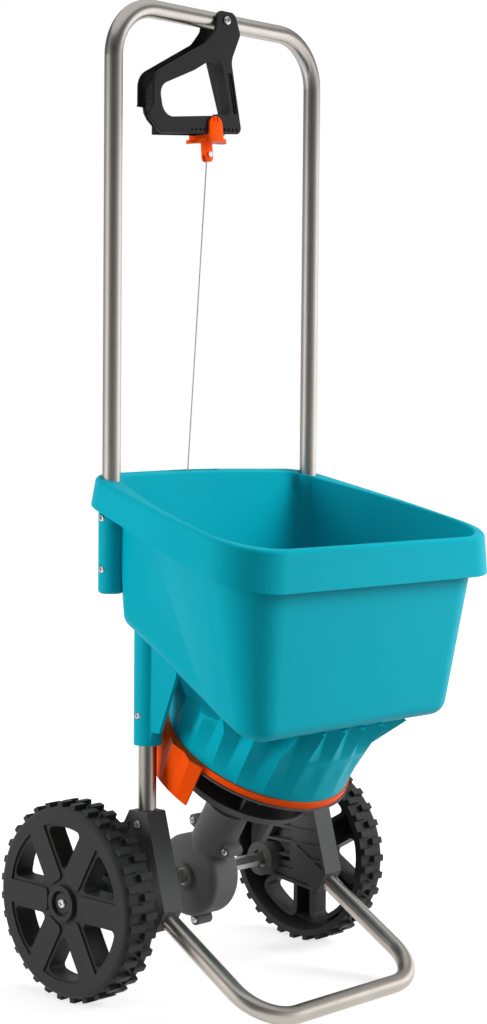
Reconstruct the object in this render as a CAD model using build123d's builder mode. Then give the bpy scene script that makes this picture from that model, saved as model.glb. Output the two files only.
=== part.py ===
from build123d import *
from math import acos, cos, hypot, pi, radians, sin, sqrt, tan
import os

os.makedirs("parts", exist_ok=True)

# Clearances
fit_play = 0.05  # radial, shafts in their bearings
seat_play = 0.1  # radial, tubes and screws in their holes
moving_gap = 0.3  # faces that slide or swing past each other

# Stainless tube
tube_diameter = 20.0
tube_wall = 1.5

# Handle, an inverted U
handle_half_width = 160.0
handle_height = 1089.0  # axis of the grip bar above the ground
handle_bend = 58.0
handle_foot = 452.0  # lower end of the uprights

# Legs between the hopper and the axle brackets
leg_half_width = 131.6
leg_forward = 30.0  # in front of the handle
leg_foot = 134.0
leg_head = 394.0

# Stand, a U that lies on the ground in front
stand_forward = 209.7  # axis of the ground bar in front of the handle
stand_slope = 30.0
stand_bend = 50.0
stand_reach = 166.0  # from the ground bar to the bracket's mouth
stand_insert = 24.0  # length of tube inside the bracket

# Wheels and axle
wheel_radius = 110.2
wheel_width = 39.5
wheel_face = 210.0  # outer face from the middle plane
wheel_edge_round = 6.0
rim_thickness = 7.7
spoke_depth = 26.0
spoke_width = 33.0
spoke_count = 6
wheel_skin = 6.0
pad_height = 2.5  # raised middle of each spoke
pad_width = 25.5
pad_corner = 6.0
pad_start = 25.0
pad_reach = 87.0
lug_height = 5.5
lug_length = 7.5
lug_row_width = 16.5
lug_row_gap = 0.5
lug_count = 32
window_reach = 84.0  # outer radius of the windows
window_corner = 5.0
hub_radius = 20.0
hub_boss = 3.0
hub_recess_radius = 14.0
hub_recess = 5.0
hub_wall = 5.8  # between the end of the axle and the recess
axle_back = 21.6  # behind the handle
axle_flats = 14.0

# Axle brackets
bracket_width = 28.0
bracket_top = 210.0
bracket_wall = 4.0
bracket_rib = 3.0
bracket_rib_pitch = 17.0
bracket_rib_count = 8
bracket_relief = 2.5
boss_radius = 20.0
boss_inner = 104.0  # inner end of the axle boss from the middle plane
boss_outer = 157.0
bush_diameter = 22.0
bush_recess = 6.0

# Spinner, tilted forward about the axle
rotor_tilt = 30.0
shaft_diameter = 10.0
shaft_foot = 25.0  # levels along the spinner axis are counted from the axle
shaft_head = 210.0
disc_radius = 83.5
disc_level = 137.0
disc_rim = 9.0
disc_wall = 3.0
hub_cone_foot = 104.0
hub_cone_radius = 24.0
vane_count = 4
vane_height = 32.0
agitator_level = 197.0
agitator_reach = 40.0

# Gearbox
drum_radius = 48.0
drum_half_width = 22.0
drum_round = 8.0
gearbox_wall = 3.5
gearbox_boss_radius = 15.0
gearbox_boss_reach = 28.0
neck_radius = 26.0
neck_root = 50.0
neck_top = 100.0
neck_cap = 22.0
spinner_bush_diameter = 18.0
ear_radius = 7.0
ear_half_width = 11.0
drum_ears = (263.0, 10.0)  # degrees about the axle, from the rear
gear_teeth = 30
pinion_teeth = 10
gear_pitch_radius = 36.0
gear_face = 11.0
gear_back = 17.6
pressure_angle = 20.0
gear_addendum = 1.4
pinion_addendum = 2.6
root_clearance = 0.4
tooth_backlash = 0.2  # taken off the thickness of each tooth
blank_margin = 0.02  # share of the cone by which the blank stands past the teeth

# Outlet under the funnel
lip_level = 192.0
lip_radius = 109.0
lip_wall = 3.5
lip_height = 6.0
plate_level = 182.0
plate_radius = 113.0
plate_thickness = 2.0
plate_collar_wall = 3.0
outlet_width = 48.0
outlet_length = 38.0
outlet_inset = 12.0  # from the middle to the near edge of each outlet
gate_thickness = 2.8
gate_half_width = 70.0
gate_travel = 42.0
gate_margin = 5.0
gate_tail_width = 16.0
gate_tail_reach = 132.8  # wire eye behind the spinner axis
gate_rail = 5.0

# Orange deflector
deflector_radius = 111.0
flap_bottom = 140.0
flap_wall = 3.0
flap_start = 120.0  # degrees about the spinner axis, from the right hand side
flap_end = 193.0
flap_pleats = 5
flap_pleat_depth = 5.0

# Hopper
hopper_wall = 3.0
rim_height = 574.0  # at the handle
rim_tilt = 14.0
rim_front = 256.0  # inside, in the plane of the rim
rim_rear = 10.0
rim_half_front = 207.0
rim_half_side = 194.0
rim_half_rear = 146.0
rim_bow = 12.0
rim_front_corner = 58.0
rim_rear_corner = 24.0
side_share = 0.45  # where the sides bend, as a share of the front reach
side_bow_radius = 500.0
rear_bow_radius = 900.0
rim_overhang = 9.0  # outer face of the apron beyond the inside of the wall
rim_spread = 20.0  # more overhang at the rear corners, which take the handle
rim_tail = 6.5  # more overhang behind, which takes the wire
rim_edge_round = 5.0
rim_inner_round = 3.0
apron_drop = 32.0  # lower edge of the apron under the rim at the handle
apron_tilt = 16.4
apron_flare = 4.0
floor_level = 285.0  # underside of the tub, along the spinner axis
floor_front = 114.0
floor_rear = 124.0
floor_half_front = 160.0
floor_half_side = 162.0
floor_half_rear = 160.0
floor_front_corner = 30.0
floor_rear_corner = 24.0
floor_bow = 2.0
floor_round = 16.0
funnel_waist = 245.0  # level up to which the funnel stays narrow
funnel_waist_fade = 0.78
pleat_count = 22
pleat_root = 100.0
pleat_inset = 4.0
pleat_half_width = 149.0
pleat_wall = 4.0
socket_radius = 14.0
socket_foot = 449.0
socket_round = 4.0
sleeve_radius = 15.5
sleeve_foot = 283.0
web_half_width = 137.0
web_thickness = 5.0
web_reach = 52.0
wire_slot_middle = -9.0
wire_slot_length = 84.0
wire_slot_width = 6.0

# Lever on the grip bar
lever_depth = 27.0
lever_plate = 3.0
lever_web = 4.0
lever_blank = 320.0
lever_edge_round = 1.2
scale_hole = 2.6
scale_hole_rise = 5.0
scale_pitch = 6.5
scale_count = 12
bolt_diameter = 6.0
bolt_head = 10.0
bolt_head_height = 3.2
nut_flats = 10.0
nut_height = 5.0
clip_offset = -18.0  # from the pivot, along the bar
clip_slope = 4.9  # degrees, lower bar of the lever
clip_drop = 128.4  # lower edge of that bar under the pivot
clip_wall = 3.0
clip_base = 5.0
clip_wing_length = 64.0
clip_wing_width = 30.0
clip_tongue_width = 22.0
clip_tongue_height = 24.0
clip_stem_width = 17.0
clip_stem_depth = 13.0
clip_stem_length = 25.0
clip_slit = 4.0
barrel_radius = 3.0
barrel_length = 12.0
barrel_drop = 22.0  # barrel under the lower edge of the bar
wire_diameter = 1.6
wire_guide = 27.3  # where the wire passes the rim, behind the handle
wire_tail = 48.0  # end of the upper wire under the rim
link_gap = 55.0  # head of the lower wire under the rim
link_foot = 6.0  # wire under the gate
link_ball_radius = 2.2
wire_eye_length = 5.5
wire_eye_width = 2.2

# Screws
screw_diameter = 4.0
screw_head = 8.5
screw_head_height = 2.8
screw_length = 20.0
handle_screw_levels = (532.0, 476.0)
handle_screw_seat = 172.5  # from the middle plane
leg_screw_level = 316.0
leg_screw_seat = 145.6
bracket_screw_level = 196.0
wheel_screw_diameter = 6.0
wheel_screw_head = 11.0
wheel_screw_length = 24.0
washer_diameter = 22.0
washer_thickness = 1.5

# Places that follow from the sizes above
tube_radius = tube_diameter / 2
tube_hole = tube_radius + seat_play
tilt_sin = sin(radians(rotor_tilt))
tilt_cos = cos(radians(rotor_tilt))
slope_sin = sin(radians(stand_slope))
slope_cos = cos(radians(stand_slope))
rim_sin = sin(radians(rim_tilt))
rim_cos = cos(radians(rim_tilt))
apron_sin = sin(radians(apron_tilt))
apron_cos = cos(radians(apron_tilt))
apron_reach = rim_overhang + apron_flare
front_reach = (rim_front + apron_reach) * apron_cos
rear_reach = axle_back + wheel_radius
handle_y = (front_reach - rear_reach) / 2
leg_y = handle_y - leg_forward
axle_y = handle_y + axle_back
axle_z = wheel_radius
axle_corner = axle_flats / sqrt(3)
axle_end = wheel_face + hub_boss - hub_recess - hub_wall
shaft_radius = shaft_diameter / 2
gate_level = plate_level - moving_gap - gate_thickness
plate_top = plate_level + plate_thickness

axle_centre = (0, axle_y, axle_z)
rotor = Plane(axle_centre, x_dir=(1, 0, 0), z_dir=(0, -tilt_sin, tilt_cos))
rotor_section = Plane(axle_centre, x_dir=(1, 0, 0), z_dir=(0, -tilt_cos, -tilt_sin))
rotor_axis = Axis(axle_centre, (0, -tilt_sin, tilt_cos))
axle_plane = Plane(axle_centre, x_dir=(0, 1, 0), z_dir=(1, 0, 0))
gear_plane = Plane(axle_centre, x_dir=(0, -tilt_sin, tilt_cos), z_dir=(-1, 0, 0))
gear_section = Plane(axle_centre, x_dir=(0, -tilt_sin, tilt_cos), z_dir=(0, -tilt_cos, -tilt_sin))
gear_axis = Axis(axle_centre, (-1, 0, 0))
rim_centre = (0, handle_y, rim_height)
rim_plane = Plane(rim_centre, x_dir=(1, 0, 0), z_dir=(0, -rim_sin, rim_cos))
rim_axis = Axis(rim_centre, (0, -rim_sin, rim_cos))
apron_centre = (0, handle_y, rim_height - apron_drop)
apron_plane = Plane(apron_centre, x_dir=(1, 0, 0), z_dir=(0, -apron_sin, apron_cos))


def side_plane(side, seat, y, z):
    return Plane((side * seat, y, z), x_dir=(0, 1, 0), z_dir=(side, 0, 0))


handle_screw_planes = [
    side_plane(side, handle_screw_seat, handle_y, level)
    for side in (-1, 1)
    for level in handle_screw_levels
]
leg_screw_planes = [side_plane(side, leg_screw_seat, leg_y, leg_screw_level) for side in (-1, 1)]
bracket_screw_seat = leg_half_width + bracket_width / 2
bracket_screw_planes = [
    side_plane(side, bracket_screw_seat, leg_y, bracket_screw_level) for side in (-1, 1)
]
centred_up = (Align.CENTER, Align.CENTER, Align.MIN)
centred_down = (Align.CENTER, Align.CENTER, Align.MAX)


def screw(diameter, head, length):
    Cylinder(head / 2, screw_head_height / 2, align=centred_up)
    with Locations((0, 0, screw_head_height / 2)):
        Cone(head / 2, head / 3, screw_head_height / 2, align=centred_up)
    Cylinder(diameter / 2, length, align=centred_down)


def screw_holes(planes):
    with Locations(*planes):
        Cylinder(screw_diameter / 2 + seat_play, screw_length, align=centred_down, mode=Mode.SUBTRACT)


def screw_seats(planes):
    with Locations(*planes):
        Cylinder(screw_head / 2 + moving_gap, screw_length, align=centred_up, mode=Mode.SUBTRACT)


# Handle, with a hole for the lever bolt in the grip bar
with BuildPart() as handle_tube:
    with BuildLine():
        FilletPolyline(
            (-handle_half_width, handle_y, handle_foot),
            (-handle_half_width, handle_y, handle_height),
            (handle_half_width, handle_y, handle_height),
            (handle_half_width, handle_y, handle_foot),
            radius=handle_bend,
        )
    with BuildSketch(Plane((-handle_half_width, handle_y, handle_foot))):
        Circle(tube_radius)
        Circle(tube_radius - tube_wall, mode=Mode.SUBTRACT)
    sweep()
    with Locations(Plane((0, handle_y, handle_height), z_dir=(0, -1, 0))):
        Cylinder(bolt_diameter / 2 + seat_play, 2 * tube_diameter, mode=Mode.SUBTRACT)
    screw_holes(handle_screw_planes)
handle_tube.part.label = "handle_tube"
export_step(handle_tube.part, "parts/handle_tube.step")

# Legs
with BuildPart() as right_leg_tube:
    with BuildSketch(Plane((leg_half_width, leg_y, leg_foot))):
        Circle(tube_radius)
        Circle(tube_radius - tube_wall, mode=Mode.SUBTRACT)
    extrude(amount=leg_head - leg_foot)
    screw_holes(leg_screw_planes + bracket_screw_planes)
right_leg_tube.part.label = "right_leg_tube"
export_step(right_leg_tube.part, "parts/right_leg_tube.step")

with BuildPart() as left_leg_tube:
    mirror(right_leg_tube.part, about=Plane.YZ)
left_leg_tube.part.label = "left_leg_tube"
export_step(left_leg_tube.part, "parts/left_leg_tube.step")

# Stand
stand_y = handle_y - stand_forward
stand_length = stand_reach + stand_insert
stand_end_y = stand_y + stand_length * slope_cos
stand_end_z = tube_radius + stand_length * slope_sin
with BuildPart() as stand_tube:
    with BuildLine() as stand_path:
        FilletPolyline(
            (-leg_half_width, stand_end_y, stand_end_z),
            (-leg_half_width, stand_y, tube_radius),
            (leg_half_width, stand_y, tube_radius),
            (leg_half_width, stand_end_y, stand_end_z),
            radius=stand_bend,
        )
    with BuildSketch(Plane(stand_path.line @ 0, z_dir=stand_path.line % 0)):
        Circle(tube_radius)
        Circle(tube_radius - tube_wall, mode=Mode.SUBTRACT)
    sweep()
stand_tube.part.label = "stand_tube"
export_step(stand_tube.part, "parts/stand_tube.step")

# Axle brackets: a column on the leg, a sloping mouth for the stand and a boss for the axle
column_half = tube_hole + bracket_wall
mouth_y = stand_y + stand_reach * slope_cos
mouth_z = tube_radius + stand_reach * slope_sin
mouth_half = tube_hole + bracket_wall
bracket_inner = leg_half_width - bracket_width / 2
pocket_depth = (bracket_width - bracket_wall) / 2
rib_length = 2 * (stand_forward + axle_back)
with BuildPart() as right_axle_bracket:
    with BuildSketch(Plane.YZ.offset(bracket_inner)) as bracket_outline:
        with BuildLine():
            Polyline(
                (leg_y - column_half, bracket_top),
                (leg_y + column_half, bracket_top),
                (axle_y + boss_radius, axle_z),
                (axle_y, axle_z - boss_radius),
                (mouth_y + mouth_half * slope_sin, mouth_z - mouth_half * slope_cos),
                (mouth_y - mouth_half * slope_sin, mouth_z + mouth_half * slope_cos),
                close=True,
            )
        make_face()
        with Locations((axle_y, axle_z)):
            Circle(boss_radius)
    extrude(amount=bracket_width)
    with BuildSketch(Plane.YZ.offset(bracket_inner)):
        add(bracket_outline.sketch_local)
        offset(amount=-bracket_wall)
        with Locations((leg_y, (bracket_top + axle_z) / 2)):
            with GridLocations(1, bracket_rib_pitch, 1, bracket_rib_count):
                Rectangle(rib_length, bracket_rib, mode=Mode.SUBTRACT)
        with Locations((axle_y, axle_z)):
            Circle(boss_radius, mode=Mode.SUBTRACT)
        with Locations(Location((mouth_y, mouth_z), stand_slope)):
            Rectangle(2 * stand_reach, 2 * mouth_half, mode=Mode.SUBTRACT)
    extrude(amount=bracket_relief, mode=Mode.SUBTRACT)
    for face in (0, bracket_width - pocket_depth):
        with BuildSketch(Plane.YZ.offset(bracket_inner + face)):
            with BuildLine():
                Polyline(
                    (leg_y + column_half, bracket_top - 3 * bracket_wall),
                    (axle_y + boss_radius - 2 * bracket_wall, axle_z),
                    (leg_y + column_half, axle_z),
                    close=True,
                )
            make_face()
            with Locations((leg_y, (bracket_top + axle_z) / 2)):
                with GridLocations(1, bracket_rib_pitch, 1, bracket_rib_count):
                    Rectangle(rib_length, bracket_rib, mode=Mode.SUBTRACT)
            with Locations((axle_y, axle_z)):
                Circle(boss_radius, mode=Mode.SUBTRACT)
        extrude(amount=pocket_depth, mode=Mode.SUBTRACT)
    with BuildSketch(axle_plane.offset(boss_inner)):
        Circle(boss_radius)
    extrude(amount=boss_outer - boss_inner)
    with Locations((leg_half_width, leg_y, leg_foot)):
        Cylinder(tube_hole, bracket_top, align=centred_up, mode=Mode.SUBTRACT)
    with Locations(Plane((leg_half_width, stand_end_y, stand_end_z), z_dir=(0, -slope_cos, -slope_sin))):
        Cylinder(tube_hole, stand_reach, align=centred_up, mode=Mode.SUBTRACT)
    with BuildSketch(axle_plane.offset(boss_inner)):
        Circle(bush_diameter / 2 + seat_play)
    extrude(amount=boss_outer - boss_inner, mode=Mode.SUBTRACT)
    screw_holes(bracket_screw_planes)
right_axle_bracket.part.label = "right_axle_bracket"
export_step(right_axle_bracket.part, "parts/right_axle_bracket.step")

with BuildPart() as left_axle_bracket:
    mirror(right_axle_bracket.part, about=Plane.YZ)
left_axle_bracket.part.label = "left_axle_bracket"
export_step(left_axle_bracket.part, "parts/left_axle_bracket.step")

# Axle bushes
with BuildPart() as right_axle_bush:
    with BuildSketch(axle_plane.offset(boss_inner + bush_recess)):
        Circle(bush_diameter / 2)
        Circle(axle_corner + fit_play, mode=Mode.SUBTRACT)
    extrude(amount=boss_outer - boss_inner - bush_recess)
right_axle_bush.part.label = "right_axle_bush"
export_step(right_axle_bush.part, "parts/right_axle_bush.step")

with BuildPart() as left_axle_bush:
    mirror(right_axle_bush.part, about=Plane.YZ)
left_axle_bush.part.label = "left_axle_bush"
export_step(left_axle_bush.part, "parts/left_axle_bush.step")

# Hexagon axle with a screw hole in each end
axle_screw_planes = [side_plane(side, axle_end, axle_y, axle_z) for side in (-1, 1)]
with BuildPart() as drive_axle:
    with BuildSketch(axle_plane.offset(-axle_end)):
        RegularPolygon(axle_corner, 6)
    extrude(amount=2 * axle_end)
    with Locations(*axle_screw_planes):
        Cylinder(
            wheel_screw_diameter / 2 + seat_play, wheel_screw_length, align=centred_down, mode=Mode.SUBTRACT
        )
drive_axle.part.label = "drive_axle"
export_step(drive_axle.part, "parts/drive_axle.step")

# Wheels: two staggered rows of lugs, six spokes hollow from behind
tread_radius = wheel_radius - lug_height
rim_inner = tread_radius - rim_thickness
lug_top = sqrt(wheel_radius**2 - (lug_length / 2) ** 2)
lug_foot = tread_radius - lug_height / 2
wheel_inner = wheel_face - wheel_width
spoke_inner = wheel_face - spoke_depth
spoke_angle = pi / spoke_count
apex = spoke_width / 2 / sin(spoke_angle)
spread = sqrt(window_reach**2 - (apex * sin(spoke_angle)) ** 2) - apex * cos(spoke_angle)
window_x = apex + spread * cos(spoke_angle)
window_y = spread * sin(spoke_angle)
with BuildSketch() as window:
    with BuildLine():
        Line((apex, 0), (window_x, window_y))
        ThreePointArc((window_x, window_y), (window_reach, 0), (window_x, -window_y))
        Line((window_x, -window_y), (apex, 0))
    make_face()
    fillet(window.vertices(), window_corner)
with BuildSketch() as window_frame:
    offset(window.sketch, amount=wheel_skin)

lug_rows = (wheel_inner + lug_row_gap, wheel_inner + 2 * lug_row_gap + lug_row_width)
with BuildPart() as wheel_blank:
    with BuildSketch(axle_plane.offset(wheel_inner)):
        Circle(tread_radius)
    extrude(amount=wheel_width)
    fillet(wheel_blank.faces().sort_by(Axis.X)[-1].edges(), wheel_edge_round)
    for row, start in enumerate(lug_rows):
        with BuildSketch(axle_plane.offset(start)):
            with PolarLocations((lug_top + lug_foot) / 2, lug_count, row * 180 / lug_count):
                Rectangle(lug_top - lug_foot, lug_length)
        extrude(amount=lug_row_width)
    with BuildSketch(axle_plane.offset(wheel_inner)):
        Circle(rim_inner)
        Circle(hub_radius, mode=Mode.SUBTRACT)
    extrude(amount=wheel_width - spoke_depth, mode=Mode.SUBTRACT)
    with BuildSketch(axle_plane.offset(spoke_inner)):
        Circle(rim_inner)
        Circle(hub_radius, mode=Mode.SUBTRACT)
        with PolarLocations(0, spoke_count, 180 / spoke_count):
            add(window_frame.sketch, mode=Mode.SUBTRACT)
    extrude(amount=spoke_depth - wheel_skin, mode=Mode.SUBTRACT)
    with BuildSketch(axle_plane.offset(wheel_inner)):
        with PolarLocations(0, spoke_count, 180 / spoke_count):
            add(window.sketch)
    extrude(amount=wheel_width, mode=Mode.SUBTRACT)
    with BuildSketch(axle_plane.offset(wheel_face - pad_height)):
        Circle(pad_reach)
        with PolarLocations((pad_start + rim_inner) / 2, spoke_count):
            RectangleRounded(rim_inner - pad_start, pad_width, pad_corner, mode=Mode.SUBTRACT)
    extrude(amount=pad_height, mode=Mode.SUBTRACT)
    with BuildSketch(axle_plane.offset(boss_outer + 3 * moving_gap)):
        Circle(hub_radius)
    extrude(amount=wheel_face + hub_boss - boss_outer - 3 * moving_gap)
    with BuildSketch(axle_plane.offset(wheel_face + hub_boss)):
        Circle(hub_recess_radius)
    extrude(amount=-hub_recess, mode=Mode.SUBTRACT)
    with BuildSketch(axle_plane):
        Circle(wheel_screw_diameter / 2 + moving_gap)
    extrude(amount=wheel_face + hub_boss, mode=Mode.SUBTRACT)

# The right wheel runs free on the corners of the axle, the left one is driven by its flats
with BuildPart() as right_wheel:
    add(wheel_blank.part.rotate(gear_axis, 180 / spoke_count))
    with BuildSketch(axle_plane):
        Circle(axle_corner + fit_play)
    extrude(amount=axle_end + moving_gap, mode=Mode.SUBTRACT)
right_wheel.part.label = "right_wheel"
export_step(right_wheel.part, "parts/right_wheel.step")

with BuildPart() as left_wheel:
    mirror(wheel_blank.part, about=Plane.YZ)
    with BuildSketch(axle_plane):
        RegularPolygon(axle_corner + seat_play, 6)
    extrude(amount=-axle_end, mode=Mode.SUBTRACT)
left_wheel.part.label = "left_wheel"
export_step(left_wheel.part, "parts/left_wheel.step")

# Wheel washers and screws
recess_floor = wheel_face + hub_boss - hub_recess + moving_gap
washer_planes = [side_plane(side, recess_floor, axle_y, axle_z) for side in (-1, 1)]
washer_tops = [side_plane(side, recess_floor + washer_thickness, axle_y, axle_z) for side in (-1, 1)]
with BuildPart() as wheel_washers:
    with Locations(*washer_planes):
        Cylinder(washer_diameter / 2, washer_thickness, align=centred_up)
        Cylinder(
            wheel_screw_diameter / 2 + seat_play, washer_thickness, align=centred_up, mode=Mode.SUBTRACT
        )
wheel_washers.part.label = "wheel_washers"
export_step(wheel_washers.part, "parts/wheel_washers.step")

with BuildPart() as wheel_screws:
    with Locations(*washer_tops):
        screw(wheel_screw_diameter, wheel_screw_head, wheel_screw_length)
wheel_screws.part.label = "wheel_screws"
export_step(wheel_screws.part, "parts/wheel_screws.step")


# A straight bevel tooth at angle zero: an involute section on the back cone, drawn in towards the apex
def bevel_tooth(teeth, pitch_radius, mate_radius, addendum, dedendum):
    cone_distance = hypot(pitch_radius, mate_radius)
    cone_sin = pitch_radius / cone_distance
    cone_cos = mate_radius / cone_distance
    virtual_radius = pitch_radius / cone_cos
    base_radius = virtual_radius * cos(radians(pressure_angle))
    half_tooth = pi * cone_cos / (2 * teeth) - tooth_backlash / (2 * virtual_radius)
    pitch_involute = tan(radians(pressure_angle)) - radians(pressure_angle)
    root = virtual_radius - dedendum - root_clearance
    tip = virtual_radius + addendum
    flank = []
    for step in range(6):
        radius = root + (tip - root) * step / 5
        turn = acos(min(1.0, base_radius / radius))
        half_angle = half_tooth + pitch_involute - tan(turn) + turn
        flank.append((radius * sin(half_angle), radius * cos(half_angle) - virtual_radius))
    outline = flank + [(-x, y) for x, y in reversed(flank)]
    with BuildPart() as tooth:
        for share in (1.0, 1.0 - gear_face / cone_distance):
            apex_plane = Plane(
                (share * pitch_radius, 0, share * mate_radius),
                x_dir=(0, -1, 0),
                z_dir=(cone_sin, 0, cone_cos),
            )
            with BuildSketch(apex_plane):
                with BuildLine():
                    Polyline([(share * x, share * y) for x, y in outline], close=True)
                make_face()
        loft(ruled=True)
    return tooth.part


def root_cone(pitch_radius, mate_radius, dedendum):
    cone_distance = hypot(pitch_radius, mate_radius)
    root_x = pitch_radius - dedendum * mate_radius / cone_distance
    root_y = mate_radius + dedendum * pitch_radius / cone_distance
    outer = 1.0 + blank_margin
    inner = 1.0 - gear_face / cone_distance - blank_margin
    return (outer * root_x, outer * root_y), (inner * root_x, inner * root_y)


# Bevel pair, three to one
pinion_pitch_radius = gear_pitch_radius * pinion_teeth / gear_teeth
gear_dedendum = pinion_addendum + root_clearance
pinion_dedendum = gear_addendum + root_clearance
gear_tooth = bevel_tooth(
    gear_teeth, gear_pitch_radius, pinion_pitch_radius, gear_addendum, gear_dedendum
)
pinion_tooth = bevel_tooth(
    pinion_teeth, pinion_pitch_radius, gear_pitch_radius, pinion_addendum, pinion_dedendum
)

gear_outer, gear_inner = root_cone(gear_pitch_radius, pinion_pitch_radius, gear_dedendum)
with BuildPart(gear_plane) as drive_gear:
    with BuildSketch(gear_section):
        with BuildLine():
            Polyline(
                (0, gear_inner[1]),
                gear_inner,
                gear_outer,
                (gear_outer[0], gear_back),
                (0, gear_back),
                close=True,
            )
        make_face()
    revolve(axis=gear_axis)
    with PolarLocations(0, gear_teeth, 180 / gear_teeth):
        add(gear_tooth)
    with BuildSketch(axle_plane):
        RegularPolygon(axle_corner + seat_play, 6)
    extrude(amount=-gear_back, mode=Mode.SUBTRACT)
drive_gear.part.label = "drive_gear"
export_step(drive_gear.part, "parts/drive_gear.step")

pinion_outer, pinion_inner = root_cone(pinion_pitch_radius, gear_pitch_radius, pinion_dedendum)
pinion_back = pinion_outer[1] + gear_addendum
with BuildPart(rotor) as bevel_pinion:
    with BuildSketch(rotor_section):
        with BuildLine():
            Polyline(
                (shaft_radius + seat_play, pinion_inner[1]),
                pinion_inner,
                pinion_outer,
                (pinion_outer[0], pinion_back),
                (shaft_radius + seat_play, pinion_back),
                close=True,
            )
        make_face()
    revolve(axis=rotor_axis)
    with PolarLocations(0, pinion_teeth):
        add(pinion_tooth)
    with BuildSketch(rotor):
        Circle(shaft_radius + seat_play)
    extrude(amount=pinion_back, mode=Mode.SUBTRACT)
bevel_pinion.part.label = "bevel_pinion"
export_step(bevel_pinion.part, "parts/bevel_pinion.step")

# Gearbox, two halves of one rounded drum with a neck for the shaft
ear_spots = (
    (neck_radius + ear_radius / 2, neck_root + ear_radius),
    (-neck_radius - ear_radius / 2, neck_root + ear_radius),
)
drum_ear_reach = drum_radius + screw_head / 2 + moving_gap
shaft_side = Plane(axle_centre, x_dir=(0, tilt_cos, tilt_sin), z_dir=(1, 0, 0))
with BuildPart() as gearbox_shell:
    with BuildSketch(axle_plane.offset(-drum_half_width)):
        Circle(drum_radius)
    extrude(amount=2 * drum_half_width)
    fillet(gearbox_shell.edges().filter_by(GeomType.CIRCLE), drum_round)
    with BuildSketch(rotor.offset(neck_root)):
        Circle(neck_radius)
    extrude(amount=neck_top - neck_root)
    with Locations(rotor.offset(neck_root)):
        Sphere(neck_radius)
    with BuildSketch(shaft_side.offset(-ear_half_width)):
        with Locations(*ear_spots):
            Circle(ear_radius)
        with Locations((0, neck_root + ear_radius)):
            Rectangle(2 * neck_radius + ear_radius, 2 * ear_radius)
    extrude(amount=2 * ear_half_width)
    with BuildSketch(axle_plane.offset(-ear_half_width)):
        for angle in drum_ears:
            with PolarLocations(drum_ear_reach, 1, angle):
                Circle(ear_radius)
    extrude(amount=2 * ear_half_width)
    with BuildSketch(axle_plane.offset(-gearbox_boss_reach)):
        Circle(gearbox_boss_radius)
    extrude(amount=2 * gearbox_boss_reach)
    with BuildSketch(axle_plane.offset(gearbox_wall - drum_half_width)):
        Circle(drum_radius - gearbox_wall)
    extrude(amount=2 * (drum_half_width - gearbox_wall), mode=Mode.SUBTRACT)
    with BuildSketch(rotor):
        Circle(pinion_pitch_radius + 2 * pinion_addendum)
    extrude(amount=neck_top - neck_cap, mode=Mode.SUBTRACT)
    with BuildSketch(rotor):
        Circle(spinner_bush_diameter / 2 + seat_play)
    extrude(amount=neck_top, mode=Mode.SUBTRACT)
    with BuildSketch(axle_plane.offset(-gearbox_boss_reach)):
        Circle(bush_diameter / 2 + seat_play)
    extrude(amount=2 * gearbox_boss_reach, mode=Mode.SUBTRACT)
    with Locations(shaft_side):
        with Locations(*ear_spots):
            Cylinder(screw_diameter / 2 + seat_play, 4 * ear_half_width, mode=Mode.SUBTRACT)
    with Locations(axle_plane):
        for angle in drum_ears:
            with PolarLocations(drum_ear_reach, 1, angle):
                Cylinder(screw_diameter / 2 + seat_play, 4 * ear_half_width, mode=Mode.SUBTRACT)

with BuildPart() as gearbox_right_half:
    add(gearbox_shell.part)
    split(bisect_by=Plane.YZ, keep=Keep.TOP)
gearbox_right_half.part.label = "gearbox_right_half"
export_step(gearbox_right_half.part, "parts/gearbox_right_half.step")

with BuildPart() as gearbox_left_half:
    add(gearbox_shell.part)
    split(bisect_by=Plane.YZ, keep=Keep.BOTTOM)
gearbox_left_half.part.label = "gearbox_left_half"
export_step(gearbox_left_half.part, "parts/gearbox_left_half.step")

# Gearbox screws from the left
ear_face = (-ear_half_width, axle_y, axle_z)
with BuildPart() as gearbox_screws:
    with Locations(Plane(ear_face, x_dir=(0, tilt_cos, tilt_sin), z_dir=(-1, 0, 0))):
        with Locations(*[(x, -y) for x, y in ear_spots]):
            screw(screw_diameter, screw_head, 2 * ear_half_width)
    with Locations(Plane(ear_face, x_dir=(0, 1, 0), z_dir=(-1, 0, 0))):
        for angle in drum_ears:
            with PolarLocations(drum_ear_reach, 1, -angle):
                screw(screw_diameter, screw_head, 2 * ear_half_width)
gearbox_screws.part.label = "gearbox_screws"
export_step(gearbox_screws.part, "parts/gearbox_screws.step")

# Gearbox bushes on the axle and in the neck
inner_face = drum_half_width - gearbox_wall
with BuildPart() as gearbox_bushes:
    for start in (inner_face, -gearbox_boss_reach + bush_recess / 2):
        with BuildSketch(axle_plane.offset(start)):
            Circle(bush_diameter / 2)
            Circle(axle_corner + fit_play, mode=Mode.SUBTRACT)
        extrude(amount=gearbox_boss_reach - inner_face - bush_recess / 2)
gearbox_bushes.part.label = "gearbox_bushes"
export_step(gearbox_bushes.part, "parts/gearbox_bushes.step")

with BuildPart() as spinner_bush:
    with BuildSketch(rotor.offset(neck_top - neck_cap)):
        Circle(spinner_bush_diameter / 2)
        Circle(shaft_radius + fit_play, mode=Mode.SUBTRACT)
    extrude(amount=neck_cap)
spinner_bush.part.label = "spinner_bush"
export_step(spinner_bush.part, "parts/spinner_bush.step")

# Spinner shaft, disc with vanes, and agitator
with BuildPart() as spinner_shaft:
    with BuildSketch(rotor.offset(shaft_foot)):
        Circle(shaft_radius)
    extrude(amount=shaft_head - shaft_foot)
spinner_shaft.part.label = "spinner_shaft"
export_step(spinner_shaft.part, "parts/spinner_shaft.step")

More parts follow.
